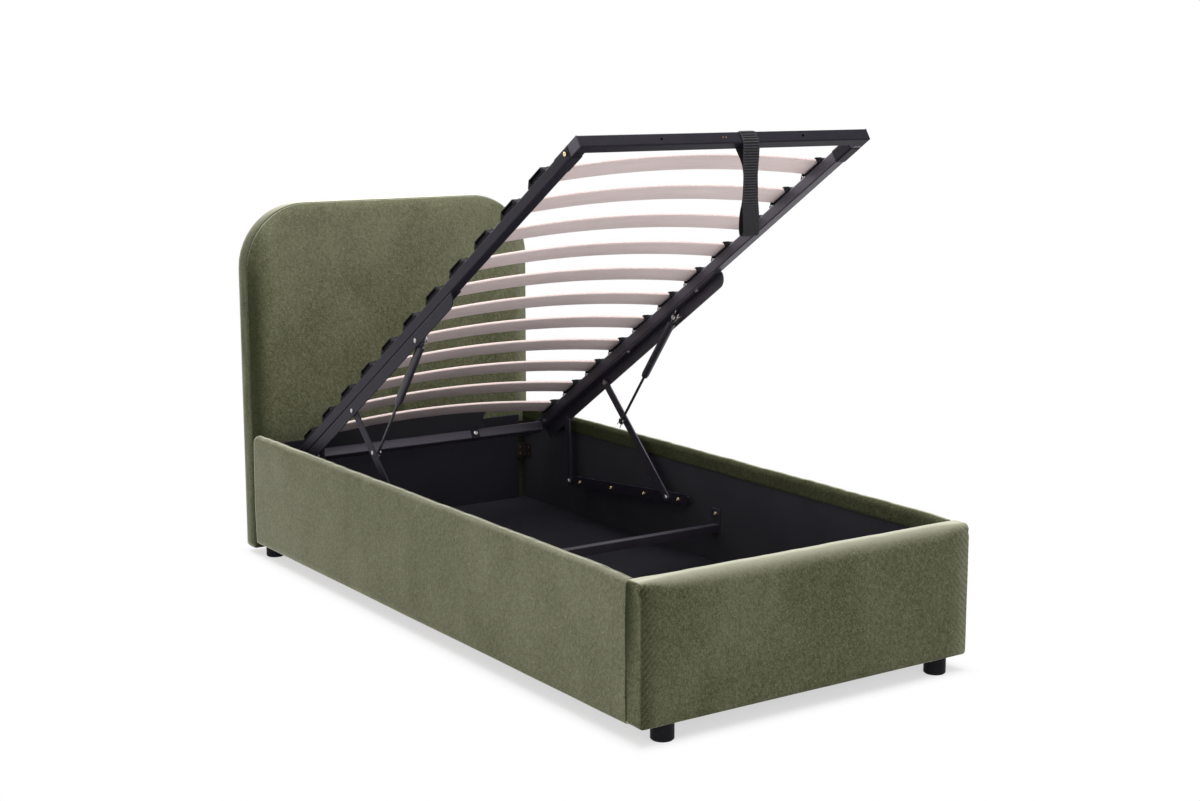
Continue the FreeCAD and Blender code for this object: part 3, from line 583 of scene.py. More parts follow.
def footboard_cover():
    """The footboard's cover, lofted across the bed."""
    low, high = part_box("footboard_cover")
    width = high.x - low.x
    middle = ((low.y + high.y) / 2, (low.z + high.z) / 2)
    near = [0.0, 0.0002, 0.0006, 0.0012, 0.0020, 0.0032, 0.005, 0.0075, 0.011]
    near += [0.011 + 0.0022 * i for i in range(1, 26)]
    inside = [near[-1] + (width - 2 * near[-1]) * i / 90 for i in range(1, 90)]
    stations = near + inside + [width - d for d in reversed(near)]
    points = []
    nap = []
    for s in stations:
        d = min(s, width - s)
        end = 1 if s > width / 2 else -1
        end_round = right_end_round if end > 0 else left_end_round
        inset = 0.0
        if d < end_round:
            inset = end_round - math.sqrt(end_round ** 2 - (end_round - d) ** 2)
        x = low.x + s
        eased = grow(d, pinch_reach) ** 2 * (3 - 2 * grow(d, pinch_reach))
        deep = pinched_roll + (footboard_roll_depth - pinched_roll) * eased
        tall = pinched_roll + (footboard_roll_height - pinched_roll) * eased
        section = footboard_section(low.y + footboard_front_inset, high.y - footboard_back_inset, low.z,
                                    high.z, deep, tall)
        for y, z in section:
            up = (z - low.z) / (high.z - low.z)
            fore = max(0.0, min(1.0, (middle[0] - y) / (middle[0] - low.y)))
            across = 1 - (2 * s / width - 1) ** 6
            y_new = y - fore * footboard_crown * across * (1 - (2 * up - 1) ** 4)
            y_new += inset * (1 if y < middle[0] else -1) * grow(abs(y - middle[0]), end_depth_blend)
            held = grow(abs(z - middle[1]), end_height_blend) ** 3
            z_new = z - inset * (1 if z > middle[1] else -1) * held
            ripple = math.sin((z - d * crease_slope) / crease_pitch + 3 * noise_at(d * 20, z * 8, end))
            close = fade(d, crease_reach) * grow(d, crease_fade)
            close *= min(1.0, max(0.0, up - 0.3) * 3)
            y_new -= fore * crease_depth * close * ripple * (0.6 + 0.6 * noise_at(z * 14, d * 30, 2.0))
            y_new += footboard_lump * fore * noise_at(x * 6, z * 8, 7.0)
            waver = noise_at(x * 9, 0.3, 1.7) + 0.5 * noise_at(x * 23, 0.1, 5.2)
            z_new += max(0.0, up - 0.9) * 10 * footboard_waver * (waver - 0.4)
            corner = max(0.0, footboard_low_corner - d)
            drawn = footboard_low_corner - math.sqrt(footboard_low_corner ** 2 - corner ** 2)
            z_new += drawn * fade(z - low.z, low_corner_reach) ** 2
            notch = math.exp(-((high.z - z - notch_drop) / notch_size) ** 2 - (d / notch_size) ** 2)
            points.append((x, y_new + fore * notch * notch_depth, z_new))
            # Painted shade in a band by the left end, rippled with the creases, and painted light by the
            # right end.
            end_shading = left_end_painted_shade if end < 0 else right_end_painted_light
            end_shading *= math.exp(-(d / end_shading_reach) ** 2) * grow(d, end_shading_fade)
            end_shading *= 1 + 0.5 * ripple * grow(d, ripple_shading_fade)
            if end < 0:
                end_shading += wide_left_painted_shade * math.exp(-(d / wide_shade_reach) ** 2)
            # Painted light on the top roll, painted shade in the notch and in the seams at the ends.
            rolled = fade(high.z - z, tall) ** foot_roll_light_power * grow(d, foot_roll_light_fade)
            in_seam = d < end_seam and y > high.y - seam_reach
            front_shading = (1 - rolled) * fore * (end_shading + notch_painted_shade * notch)
            nap.append(seam_painted_shade if in_seam else front_shading - foot_roll_painted_light * rolled)
    faces = [f[::-1] for f in loft_faces(len(stations), len(section))]
    chenille_cover("footboard_chenille", points, faces, nap, "footboard_cover")


footboard_cover()

# Headboard
# A padded front panel with round top corners, sewn to a boxing border that runs up, over and down the edge.
# The seam is topstitched on the border, and black cloth is stapled over the back.

pad_roll = 0.034
pad_crown = 0.004
pad_setback = 0.0015
pad_stand = 0.0025
pad_ripple = 0.0012
crown_reach = 0.25
# Painted shading on the headboard: shadow low down behind the box, shade by the left edge and on the border,
# light by the right edge and up top.
painted_shadow_height = 0.30
low_painted_shadow = 0.72
left_edge_painted_shade = 0.8
right_edge_painted_light = -0.2
edge_shading_inset = 0.014
edge_shading_width = 0.030
upper_painted_light = 0.09
upper_light_start = 0.55
border_painted_shade = 0.11
border_low_painted_shade = 0.15
seam_dip = 0.0022
border_swell = 0.0006
border_waver = 0.0007
border_turn = 0.013
bottom_share = 0.6
least_radius = 0.0005


def arch_outline(half, low, top, radius, counts):
    """Headboard outline from the bottom left, up, over and down to the bottom right, and back."""
    side, corner, across = counts
    radius = max(radius, least_radius)
    points = [(-half, low + (top - radius - low) * i / side) for i in range(side)]
    points += arc_points((-half + radius, top - radius), radius, 180, 90, corner)
    points += line_points((-half + radius, top), (half - radius, top), across)
    points += arc_points((half - radius, top - radius), radius, 90, 0, corner)
    points += [(half, low + (top - radius - low) * (side - 1 - i) / side) for i in range(side)]
    return points + line_points((half, low), (-half, low), across)


headboard_low, headboard_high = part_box("headboard_pad")
border_low, border_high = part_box("headboard_border")
headboard_half = headboard_high.x
headboard_radius = 0.195
outline_counts = (70, 32, 60)


def headboard_pad():
    """Front panel: it rolls from the seam to a flat face that swells a little at its middle."""
    front = headboard_low.y
    seam = headboard_high.y
    insets = [0.0, 0.0006, 0.0016, 0.003, 0.005, 0.0075, 0.0105, 0.014, 0.018, 0.023, 0.029, 0.036, 0.046]
    insets += [0.046 + 0.010 * i for i in range(1, 6)] + [0.096 + 0.021 * i for i in range(1, 18)]
    points = []
    nap = []
    for inset in insets:
        t = grow(inset, pad_roll)
        depth = math.sqrt(max(0.0, 1 - (1 - t) ** 2.2))
        crown = pad_crown * grow(inset, crown_reach) * (2 - grow(inset, crown_reach))
        ring = arch_outline(headboard_half - pad_setback - inset, headboard_low.z + inset * bottom_share,
                            headboard_high.z - pad_setback - inset, headboard_radius - inset, outline_counts)
        for x, z in ring:
            ripple = pad_ripple * noise_at(x * 5, z * 4, 3.0) * t
            points.append((x, seam + (front + pad_stand - seam) * depth - crown + ripple, z))
            # Painted shade by the left edge, painted light by the right edge and over the upper part, and
            # painted shadow on the low part behind the box.
            below = min(1.0, max(0.0, (headboard_high.z - z) / headboard_radius - 0.15))
            shaded = below * (left_edge_painted_shade if x < 0 else right_edge_painted_light)
            shaded *= math.exp(-(max(0.0, headboard_half - abs(x) - edge_shading_inset) / edge_shading_width) ** 2)
            upper = max(0.0, z / headboard_high.z - upper_light_start) / (1 - upper_light_start)
            shaded -= upper_painted_light * upper
            nap.append(max(shaded, low_painted_shadow) if z < painted_shadow_height else shaded)
    faces = loft_faces(len(insets), len(ring))
    chenille_cover("headboard_front_chenille", points, faces, nap, "headboard_pad")


headboard_pad()


def headboard_border():
    """Boxing border: a band with a dipped front seam, a slight swell and a turned-in back edge."""
    depth = border_high.y - border_low.y
    profile = [(0.0, border_turn), (0.0, seam_dip + 0.0014), (0.0008, seam_dip), (0.0022, 0.0011),
               (0.0045, 0.0004)]
    profile += [(0.0045 + (depth - 0.025) * i / 10, -border_swell * math.sin(math.pi * i / 10))
                for i in range(1, 10)]
    profile += [(depth - 0.017, 0.0006), (depth - 0.011, 0.0019), (depth - 0.006, 0.0042),
                (depth - 0.0025, 0.0072), (depth - 0.0005, 0.0110), (depth, border_turn)]
    points = []
    nap = []
    for along, inset in profile:
        for x, z in arch_outline(headboard_half - inset, border_low.z, headboard_high.z - inset,
                                 headboard_radius - inset, outline_counts):
            waver = border_waver * noise_at(x * 9, z * 9, along * 40)
            points.append((x + waver, border_low.y + along, z + waver))
            # Painted shade over the border, darker towards the bottom.
            nap.append(border_painted_shade + border_low_painted_shade * grow(headboard_high.z - z, headboard_radius))
    rows = len(profile)
    count = len(points) // rows
    open_count = count - outline_counts[2]
    faces = []
    for f in grid_faces(rows, count, row_loop=True, column_loop=True):
        if max(i % count for i in f) < open_count:
            faces.append(f)
    faces.append(tuple(r * count for r in range(rows)))
    faces.append(tuple(r * count + open_count - 1 for r in range(rows))[::-1])
    chenille_cover("headboard_border_chenille", points, faces, nap, "headboard_border")


headboard_border()

# Headboard topstitch
# A row of dark green running stitches along the front seam of the border.
# Each is a short bead of thread, half sunk in the cloth.

stitch_length = 0.0062
stitch_pitch = 0.0098
stitch_radius = 0.0009
stitch_back = 0.0042
stitch_sink = 0.0006
stitch_sides = 6
stitch_counts = (400, 160, 400)


def speckled_finish(name, speckle, dark, pale, rough, more):
    """Colour and roughness follow one noise. Speckle is its scale and detail, rough a base and a spread."""
    material, wire, place = start_finish(name)
    tone = grain(wire, place, *speckle)
    end_finish(wire, {
        "Base Color": mixed(wire, tone, dark, pale),
        "Roughness": rough[0] + tone * rough[1],
        **more,
    })
    return material


olive_thread = speckled_finish("olive_thread", (1800.0, 1.0), (0.007, 0.008, 0.003, 1),
                               (0.018, 0.020, 0.009, 1), (0.55, 0.2), {})


def bead(points, faces, start, end, out, radius):
    """Adds one stitch: a spindle between two points that stands out of the cloth."""
    along = end - start
    side = along.normalized().cross(out)
    rings = ((0.0, 0.35), (0.12, 0.85), (0.5, 1.0), (0.88, 0.85), (1.0, 0.35))
    base = len(points)
    for t, share in rings:
        centre = start + along * t + out * radius * 0.35 * math.sin(math.pi * t)
        for k in range(stitch_sides):
            a = math.tau * k / stitch_sides
            points.append(centre + (side * math.cos(a) + out * math.sin(a)) * radius * share)
    faces += loft_faces(len(rings), stitch_sides, base)


def headboard_stitches():
    """Walks the seam and sets a stitch at each pitch."""
    side, corner, across = stitch_counts
    outline = arch_outline(headboard_half - stitch_sink, border_low.z, headboard_high.z - stitch_sink,
                           headboard_radius - stitch_sink, stitch_counts)[:2 * side + 2 * corner + across]
    outline = [Vector((x, border_low.y + stitch_back, z)) for x, z in outline]
    points = []
    faces = []
    walked = 0.0
    start = None
    for a, b in zip(outline, outline[1:]):
        walked += (b - a).length
        phase = walked % stitch_pitch
        if start is None and phase < stitch_length:
            start = a
        if start is not None and phase >= stitch_length:
            along = (b - start).normalized()
            bead(points, faces, start, b, Vector((-along.z, 0, along.x)), stitch_radius)
            start = None
    return new_piece("headboard_topstitch", points, faces, olive_thread)


topstitch = headboard_stitches()
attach(topstitch, "frame")

# Headboard back cloth
# A sheet of black lining with the headboard's outline, stapled over its open back.
# It is slack by up to a millimetre between the staples.

back_slack = 0.0009
back_slack_reach = 0.05
back_sink = 0.0004
back_counts = (24, 12, 20)


def back_cloth():
    """The back sheet, made of rings that close from its edge to its middle."""
    low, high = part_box("headboard_back_cloth")
    radius = headboard_radius - (headboard_half - high.x)
    insets = [0.0, 0.004, 0.02] + [0.02 + 0.035 * i for i in range(1, 13)]
    points = []
    for inset in insets:
        ring = arch_outline(high.x - inset, low.z + inset * bottom_share, high.z - inset, radius - inset,
                            back_counts)
        for x, z in ring:
            slack = back_slack * grow(inset, back_slack_reach) * (0.4 + noise_at(x * 4, z * 4, 8.0))
            points.append((x, high.y - back_sink - slack, z))
    faces = grid_faces(len(insets), len(ring), column_loop=True)
    faces.append(tuple(len(points) - len(ring) + i for i in range(len(ring))))
    sheet = new_piece("headboard_back_sheet", points, faces, black_lining)
    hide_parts("headboard_back_cloth")
    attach(sheet, "frame")


back_cloth()

# Steel frame and lift
# Corner angles, tie bar, base channels, links, lift plates and the square tubes of the slatted base.
# Pressed and welded mild steel under a black powder coat with a violet cast.
# The coat of the right-hand lift and side tube is glossier, and mirrors the slats.


def powder_coat_finish(name, gloss):
    """Black powder coat: a fine orange peel, dust and rubbed spots."""
    material, wire, place = start_finish(name)
    peel = grain(wire, place, 520.0, 2.0)
    dust = grain(wire, place, 26.0, 5.0)
    rub = ramped(wire, grain(wire, place, 90.0, 5.0), 0.62, 0.80)
    colour = mixed(wire, dust, (0.0110, 0.0097, 0.0140, 1), (0.0190, 0.0168, 0.0235, 1))
    end_finish(wire, {
        "Base Color": mixed(wire, rub * 0.35, colour, (0.030, 0.028, 0.034, 1)),
        "Roughness": 0.33 + dust * 0.14 + peel * 0.06,
        "Specular IOR Level": gloss,
        "Specular Tint": (0.90, 0.84, 1.0, 1),
        "Sheen Weight": 0.06,
        "Sheen Roughness": 0.3,
        "Sheen Tint": (0.72, 0.60, 1.0, 1),
        "Normal": relief(wire, peel, 0.00018),
    })
    return material


black_steel = powder_coat_finish("black_powder_coat", 0.10)
slick_steel = powder_coat_finish("slick_powder_coat", 0.95)
glossy_steel = powder_coat_finish("glossy_powder_coat", 0.75)
steel_edge = 0.0009
bracket_edge = 0.0006
lift_parts = ("front_link", "rear_link", "lift_plate", "side_tube")
coats = (
    (black_steel, ["foot_tube", "head_tube_clip", "corner_sleeves"]),
    (black_steel, ["left_base_channel", "right_base_channel"]),
    (black_steel, ["left_" + part for part in lift_parts]),
    (slick_steel, ["right_" + part for part in lift_parts]),
    (glossy_steel, ["head_tube", "tie_bar"]),
)
for coat, nodes in coats:
    for node in nodes:
        dress(node, coat, steel_edge)

brown_steel = speckled_finish("brown_bracket_steel", (120.0, 4.0), (0.009, 0.007, 0.007, 1),
                              (0.022, 0.015, 0.013, 1), (0.45, 0.2), {"Specular IOR Level": 0.2})
dress("corner_brackets", brown_steel, bracket_edge)

# Screws, bolts and rivets
# Yellow zinc screws hold the channels and tie bar, and bright rivets are the pivots of links and struts.
# Each head is a low dome. The gold screws have a hexagon socket, and the bracket screws have gone brown.


def plated_finish(name, pale, dark):
    """Plated steel, dulled unevenly by handling."""
    return speckled_finish(name, (420.0, 3.0), dark, pale, (0.24, 0.22), {"Metallic": 1.0})


yellow_zinc = plated_finish("yellow_zinc", (0.80, 0.66, 0.44, 1), (0.58, 0.44, 0.26, 1))
bright_zinc = plated_finish("bright_zinc", (0.64, 0.62, 0.60, 1), (0.36, 0.35, 0.34, 1))
rusted_zinc = plated_finish("rusted_zinc", (0.30, 0.17, 0.11, 1), (0.10, 0.05, 0.03, 1))
weld_steps = 50000
screw_edge = 0.0006
dome_sides = 18
shank_ratio = 4
bracket_thickness = 0.003
bracket_offset = 0.004
bracket_rise = 0.011


def solids_of(node):
    """Low and high corners of each separate solid in a CAD node."""
    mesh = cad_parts[node].data
    keys = {}
    key_of = [keys.setdefault(tuple(round(c * weld_steps) for c in v.co), len(keys)) for v in mesh.vertices]
    parent = list(range(len(keys)))

    def top(i):
        while parent[i] != i:
            parent[i] = parent[parent[i]]
            i = parent[i]
        return i

    for edge in mesh.edges:
        parent[top(key_of[edge.vertices[0]])] = top(key_of[edge.vertices[1]])
    groups = {}
    for v in mesh.vertices:
        groups.setdefault(top(key_of[v.index]), []).append(v.co)
    boxes = []
    for members in groups.values():
        co = np.array([tuple(c) for c in members])
        boxes.append((Vector(co.min(0)), Vector(co.max(0))))
    return sorted(boxes, key=lambda b: tuple(round(c, 5) for c in b[0]))


def dome(points, faces, seat, out, radius, height, socket=0.0):
    """Adds a domed head on a seat, with a hexagon socket if it has one."""
    side = out.orthogonal().normalized()
    up = out.cross(side)
    rings = [(1.0, 0.0), (1.0, 0.25), (0.93, 0.55), (0.78, 0.82), (0.58, 1.0)]
    if socket:
        rings += [(socket, 1.0), (socket, 0.25)]
    else:
        rings += [(0.30, 1.1)]
    base = len(points)
    for share, rise in rings:
        for k in range(dome_sides):
            a = math.tau * k / dome_sides
            reach = share * radius
            if socket and share == socket:
                reach /= max(abs(math.cos((a + math.pi / 6) % (math.pi / 3) - math.pi / 6)), 0.8)
            points.append(seat + (side * math.cos(a) + up * math.sin(a)) * reach + out * rise * height)
    for f in grid_faces(len(rings), dome_sides, column_loop=True):
        faces.append(tuple(base + i for i in f))
    faces.append(tuple(len(points) - dome_sides + k for k in range(dome_sides)))


def heads_piece(name, heads, size, material, body):
    """Equal domed heads, each given by its seat and the way it faces. Size is radius, height, socket."""
    points = []
    faces = []
    for seat, out in heads:
        dome(points, faces, seat, out, *size)
    piece = new_piece(name, points, faces, material)
    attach(piece, body)


def x_heads(node, inside):
    """Seats on a node's pins or screws across the bed, long shanks left out, and the way they face."""
    heads = []
    for low, high in solids_of(node):
        middle = (low + high) / 2
        if high.x - low.x > min(high.y - low.y, high.z - low.z) * shank_ratio:
            continue
        hand = 1 if middle.x > 0 else -1
        reach = min(abs(low.x), abs(high.x)) if inside else max(abs(low.x), abs(high.x))
        out = -hand if inside else hand
        heads.append((Vector((hand * reach, middle.y, middle.z)), Vector((out, 0, 0))))
    return heads


def bracket_heads():
    """Seats of two screws in each leg of the corner brackets, and the way they face."""
    heads = []
    for low, high in solids_of("corner_brackets"):
        side = 1 if low.x > 0 else -1
        end = 1 if low.y > 0 else -1
        middle = (low + high) / 2
        wall = (high.x if side > 0 else low.x) - side * bracket_thickness
        panel = (high.y if end > 0 else low.y) - end * bracket_thickness
        for rise in (-bracket_rise, bracket_rise):
            on_wall = Vector((wall, middle.y - end * bracket_offset, middle.z + rise))
            on_panel = Vector((middle.x - side * bracket_offset, panel, middle.z + rise))
            heads.append((on_wall, Vector((-side, 0, 0))))
            heads.append((on_panel, Vector((0, -end, 0))))
    return heads


for node in ("rail_screws", "lid_bolts", "base_pivot_pins", "lid_pivot_pins"):
    dress(node, yellow_zinc if node == "rail_screws" else bright_zinc, screw_edge)
rail_screw_size = (0.0052, 0.0018, 0.42)
base_rivet_size = (0.0074, 0.0020)
lid_rivet_size = (0.0050, 0.0016)
bracket_screw_size = (0.0028, 0.0010)
heads_piece("rail_screw_heads", x_heads("rail_screws", True), rail_screw_size, yellow_zinc,
            "frame")
heads_piece("base_rivet_heads", x_heads("base_pivot_pins", True), base_rivet_size, bright_zinc,
            "frame")
heads_piece("lid_rivet_heads", x_heads("lid_pivot_pins", False), lid_rivet_size, bright_zinc,
            "lid")
heads_piece("bracket_screw_heads", bracket_heads(), bracket_screw_size, rusted_zinc, "frame")

first_low, first_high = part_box("slat_01")
last_low, last_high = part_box("slat_11")
lid_along = ((last_low + last_high) - (first_low + first_high)).normalized()
lid_up = Vector((1, 0, 0)).cross(lid_along)


def points_of(node):
    """All points of a CAD node, one to a row."""
    return np.array([tuple(v.co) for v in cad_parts[node].data.vertices])


def across_lid(node):
    """A CAD node's least and greatest reach along the slatted base and above it, in metres."""
    co = points_of(node)
    along = co @ np.array(lid_along)
    up = co @ np.array(lid_up)
    return along.min(), along.max(), up.min(), up.max()


def lid_point(x, along, up):
    """A point from its place across, along and above the slatted base."""
    return Vector((x, 0, 0)) + lid_along * along + lid_up * up


sleeve_screw_size = (0.0056, 0.0016, 0.42)
sleeve_screw_place = 0.056
tube_rivet_size = (0.0020, 0.0006)
tube_rivet_places = (-0.0225, -0.0135)
eyelet_size = (0.0072, 0.0018, 0.5)


def lid_heads():
    """Gold heads on the corner sleeves, two rusty rivets in the foot tube, and the clip's zinc eyelet."""
    foot, _, under, over = across_lid("foot_tube")
    middle = (under + over) / 2
    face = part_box("corner_sleeves")[1].x
    heads = [(lid_point(hand * face, foot + sleeve_screw_place, middle), Vector((hand, 0, 0)))
             for hand in (-1, 1)]
    heads_piece("lid_screw_heads", heads, sleeve_screw_size, yellow_zinc, "lid")
    heads = [(lid_point(x, foot, middle), -lid_along) for x in tube_rivet_places]
    heads_piece("foot_tube_rivets", heads, tube_rivet_size, rusted_zinc, "lid")
    low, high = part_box("head_tube_clip")
    clip, _, under, over = across_lid("head_tube_clip")
    seat = lid_point((low.x + high.x) / 2, clip, (under + over) / 2)
    heads_piece("clip_eyelet", [(seat, -lid_along)], eyelet_size, bright_zinc, "lid")


lid_heads()

elbow_length = 0.0435


def corner_elbows():
    """Rubbed outer faces of the foot tube's bent ends, ahead of the corner sleeves."""
    points = []
    faces = []
    foot, _, under, over = across_lid("foot_tube")
    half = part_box("foot_tube")[1].x
    for hand in (-1, 1):
        base = len(points)
        for out, inset in ((-0.0006, 0.0), (0.0003, 0.0), (0.0006, 0.0006)):
            far = elbow_length - inset
            top = over - under - inset
            for along, up in ((inset, inset), (far, inset), (far, top), (inset, top)):
                points.append(lid_point(hand * (half + out), foot + along, under + up))
        for f in grid_faces(3, 4, column_loop=True) + [(8, 9, 10, 11)]:
            faces.append(tuple(base + i for i in (f if hand > 0 else f[::-1])))
    elbows = new_piece("corner_elbow_faces", points, faces, glossy_steel, False)
    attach(elbows, "lid")


corner_elbows()


hands = (("left_", -1), ("right_", 1))
stud_rivet_size = (0.0058, 0.0007)
flush = 0.0002


def boss(node, outside):
    """Middle of the part of a CAD node that reaches furthest out from the bed's middle, or furthest in."""
    co = points_of(node)
    reach = np.abs(co[:, 0])
    edge = reach.max() if outside else reach.min()
    face = co[np.abs(reach - edge) < flush]
    return Vector((face.min(0) + face.max(0)) / 2)


stud_heads = [(boss(hand + "front_link", True), Vector((side, 0, 0))) for hand, side in hands]
heads_piece("stud_rivet_heads", stud_heads, stud_rivet_size, bright_zinc, "front_links")

# Gas struts
# A black cylinder hung from the lift plate, and a dark polished rod that slides out of its collar.
# The eye at each end is kept on its stud by a clip of spring wire.


def strut_paint_finish():
    """Semi-gloss black enamel on the cylinders."""
    material, wire, place = start_finish("strut_enamel")
    flow = grain(wire, place, 55.0, 3.0)
    end_finish(wire, {
        "Base Color": mixed(wire, flow, (0.022, 0.0195, 0.0245, 1), (0.036, 0.032, 0.040, 1)),
        "Roughness": 0.30 + flow * 0.10,
        "Specular IOR Level": 0.4,
        "Coat Weight": 0.06 + flow * 0.06,
    })
    return material


strut_enamel = strut_paint_finish()
nitrided_rod = speckled_finish("nitrided_rod", (1.0, 2.0, 0.0, (900, 90, 90)), (0.030, 0.029, 0.033, 1),
                               (0.060, 0.058, 0.064, 1), (0.26, 0.12), {"Metallic": 0.5})
cylinder_edge = 0.0008
rod_edge = 0.0005
for hand, _ in hands:
    dress(hand + "strut_cylinder", strut_enamel, cylinder_edge)
    dress(hand + "strut_rod", nitrided_rod, rod_edge)

clip_radius = 0.0102
clip_wire = 0.0011
clip_tail = 0.019
clip_spread = 0.0085
clip_sides = 8
rod_clip_depth = 0.004


def spring_clip(points, faces, centre, tail):
    """Adds one wire clip round a strut's eye, its two ends turned out along the tail."""
    axis = Vector((1, 0, 0))
    across = axis.cross(tail)
    path = [tail * clip_tail + across * clip_spread]
    path += [tail * (clip_radius * math.cos(a)) + across * (clip_radius * math.sin(a))
             for a in np.radians(np.linspace(38, 322, 19))]
    path.append(tail * clip_tail - across * clip_spread)
    base = len(points)
    for i, place in enumerate(path):
        ahead = (path[min(i + 1, len(path) - 1)] - path[max(i - 1, 0)]).normalized()
        side = ahead.cross(axis)
        for k in range(clip_sides):
            a = math.tau * k / clip_sides
            points.append(centre + place + (side * math.cos(a) + axis * math.sin(a)) * clip_wire)
    faces += loft_faces(len(path), clip_sides, base)


def strut_clips(kind, other, name, body):
    """Spring clips that keep the eyes of both struts on their studs, at one end."""
    points = []
    faces = []
    for hand, side in hands:
        low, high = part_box(hand + kind)
        other_low, other_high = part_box(hand + other)
        line = ((low + high) - (other_low + other_high)).normalized()
        line.x = 0
        if kind == "strut_rod":
            centre = boss(hand + kind, False)
            centre.x += side * rod_clip_depth
        else:
            pins = [(a + b) / 2 for a, b in solids_of("lid_pivot_pins") if (a.x + b.x) * side > 0]
            centre = min(pins, key=lambda p: p.y)
            centre.x = (low.x + high.x) / 2
        spring_clip(points, faces, centre, line.normalized())
    clips = new_piece(name, points, faces, bright_zinc)
    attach(clips, body)


strut_clips("strut_cylinder", "strut_rod", "upper_strut_clips", "strut_cylinders")
strut_clips("strut_rod", "strut_cylinder", "lower_strut_clips", "strut_rods")

# Slats
# Eleven sprung slats of laminated birch, bowed upward, with eased edges and clear lacquer on top.
# Each has its own grain, and its sawn edges are left raw.

slat_edge = 0.0028
slat_thickness = 0.008
slat_stations = 49
corner_points = 5


def birch_finish(seed):
    """Birch washed a pale pink: straight grain and fine pores, a raw edge, and a warmer lacquered top."""
    material, wire, place = start_finish("pale_birch_%02d" % seed)
    away = (seed * 3.1, seed * 1.7, seed * 0.9)
    moved = wire.node("VectorMath", {"operation": "ADD"}, {0: place, 1: away})
    figure = grain(wire, moved, 1.0, 4.0, 0.5, stretch=(1.6, 34, 34))
    pores = grain(wire, moved, 1.0, 2.0, stretch=(22, 900, 900))
    streak = ramped(wire, grain(wire, moved, 1.0, 3.0, 0.4, stretch=(5, 120, 120)), 0.50, 0.78)
    tone = figure * 0.6 + pores * 0.25 + 0.08
    pale = mixed(wire, tone, (0.76, 0.61, 0.585, 1), (0.90, 0.765, 0.74, 1))
    edge = point_value(wire, "edge")
    chip = ramped(wire, grain(wire, moved, 1.0, 2.0, stretch=(160, 700, 700)), 0.45, 0.7)
    ply = mixed(wire, chip, (0.67, 0.53, 0.50, 1), (0.85, 0.72, 0.69, 1))
    face = mixed(wire, streak * 0.25, pale, (0.62, 0.47, 0.44, 1))
    lacquer = point_value(wire, "lacquer")
    face = mixed(wire, lacquer, face, mixed(wire, tone, (0.30, 0.21, 0.17, 1), (0.50, 0.39, 0.33, 1)))
    end_finish(wire, {
        "Base Color": mixed(wire, edge, face, ply),
        "Roughness": 0.42 + pores * 0.18,
        "Normal": relief(wire, pores, 0.00010),
    })
    return material


def slat(number):
    """One slat, lofted across the bed with a rounded section."""
    node = "slat_%02d" % number
    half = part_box(node)[1].x
    start, end, under, over = across_lid(node)
    bow = over - under - slat_thickness
    r = slat_edge
    top = slat_thickness - r
    section = []
    edge = []
    lacquer = []
    for centre, first in (((end - r, top), 0), ((start + r, top), 90),
                          ((start + r, r), 180), ((end - r, r), 270)):
        section += arc_points(centre, r, first, first + 90, corner_points)
        for i in range(corner_points):
            a = math.radians(first + 90 * i / (corner_points - 1))
            edge.append(math.cos(a) ** 2)
            lacquer.append(max(0.0, math.sin(a)))
    points = []
    for i in range(slat_stations):
        t = 2 * i / (slat_stations - 1) - 1
        rise = under + bow * (1 - t * t)
        for along, up in section:
            points.append(lid_point(t * half, along, rise + up))
    faces = [f[::-1] for f in loft_faces(slat_stations, len(section))]
    piece = new_piece("birch_slat_%02d" % number, points, faces, birch_finish(number))
    keep_values(piece, "edge", edge * slat_stations)
    keep_values(piece, "lacquer", lacquer * slat_stations)
    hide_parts(node)
    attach(piece, "lid")


for number in range(1, 12):
    slat(number)

# Slat holders
# Black moulded caps that snap on the side tubes and hold the slat ends.
# Each has a stud that goes under its tube.

holder_edge = 0.0016
dress("slat_holders", black_plastic, holder_edge, segments=3)

# Head flap
# A strip of black lining cloth stapled under the last slat and tucked behind the head tube, up to its clip.
# Its right edge is cut hollow by scissors and frays a little.

flap_sag = 0.004
flap_rows = 9
flap_columns = 60
flap_right = 0.190
flap_left_inset = 0.012
flap_hollow = 0.009
flap_fray = 0.0012
flap_lap = 0.006
flap_gap = 0.0008
tube_lap = 0.005
tube_gap = 0.0009


def head_flap():
    """A hanging strip from the last slat's underside to the head tube."""
    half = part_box("slat_11")[1].x
    _, end, under, over = across_lid("slat_11")
    _, tube_face, _, tube_top = across_lid("head_tube_clip")
    bow = over - under - slat_thickness
    left = -half + flap_left_inset
    points = []
    for i in range(flap_rows):
        v = i / (flap_rows - 1)
        for j in range(flap_columns):
            u = j / (flap_columns - 1)
            fray = flap_fray * noise_at(v * 40, 2.0, 6.0) * u ** 8
            hollow = flap_hollow * math.sin(math.pi * v) * u ** 12
            x = left + (flap_right - left) * u + fray - hollow
            upper = under + bow * (1 - (x / half) ** 2) - flap_gap
            sag = flap_sag * math.sin(math.pi * v) * (0.7 + 0.5 * noise_at(x * 9, 0.0, 3.0))
            along = end - flap_lap + (tube_face + tube_lap - end + flap_lap) * v - sag
            points.append(lid_point(x, along, upper + (tube_top + tube_gap - upper) * v))
    flap = new_piece("head_flap_cloth", points, grid_faces(flap_rows, flap_columns), black_lining)
    middle = flap_columns // 2
    drop = sum((points[(i + 1) * flap_columns + middle] - points[i * flap_columns + middle]).length
               for i in range(flap_rows - 1))
    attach(flap, "lid")


head_flap()

# Pull strap
# One loop of black ribbed webbing round the foot tube, sewn together below it and open for the hand.
# It hangs on the tube, with its lower part below.

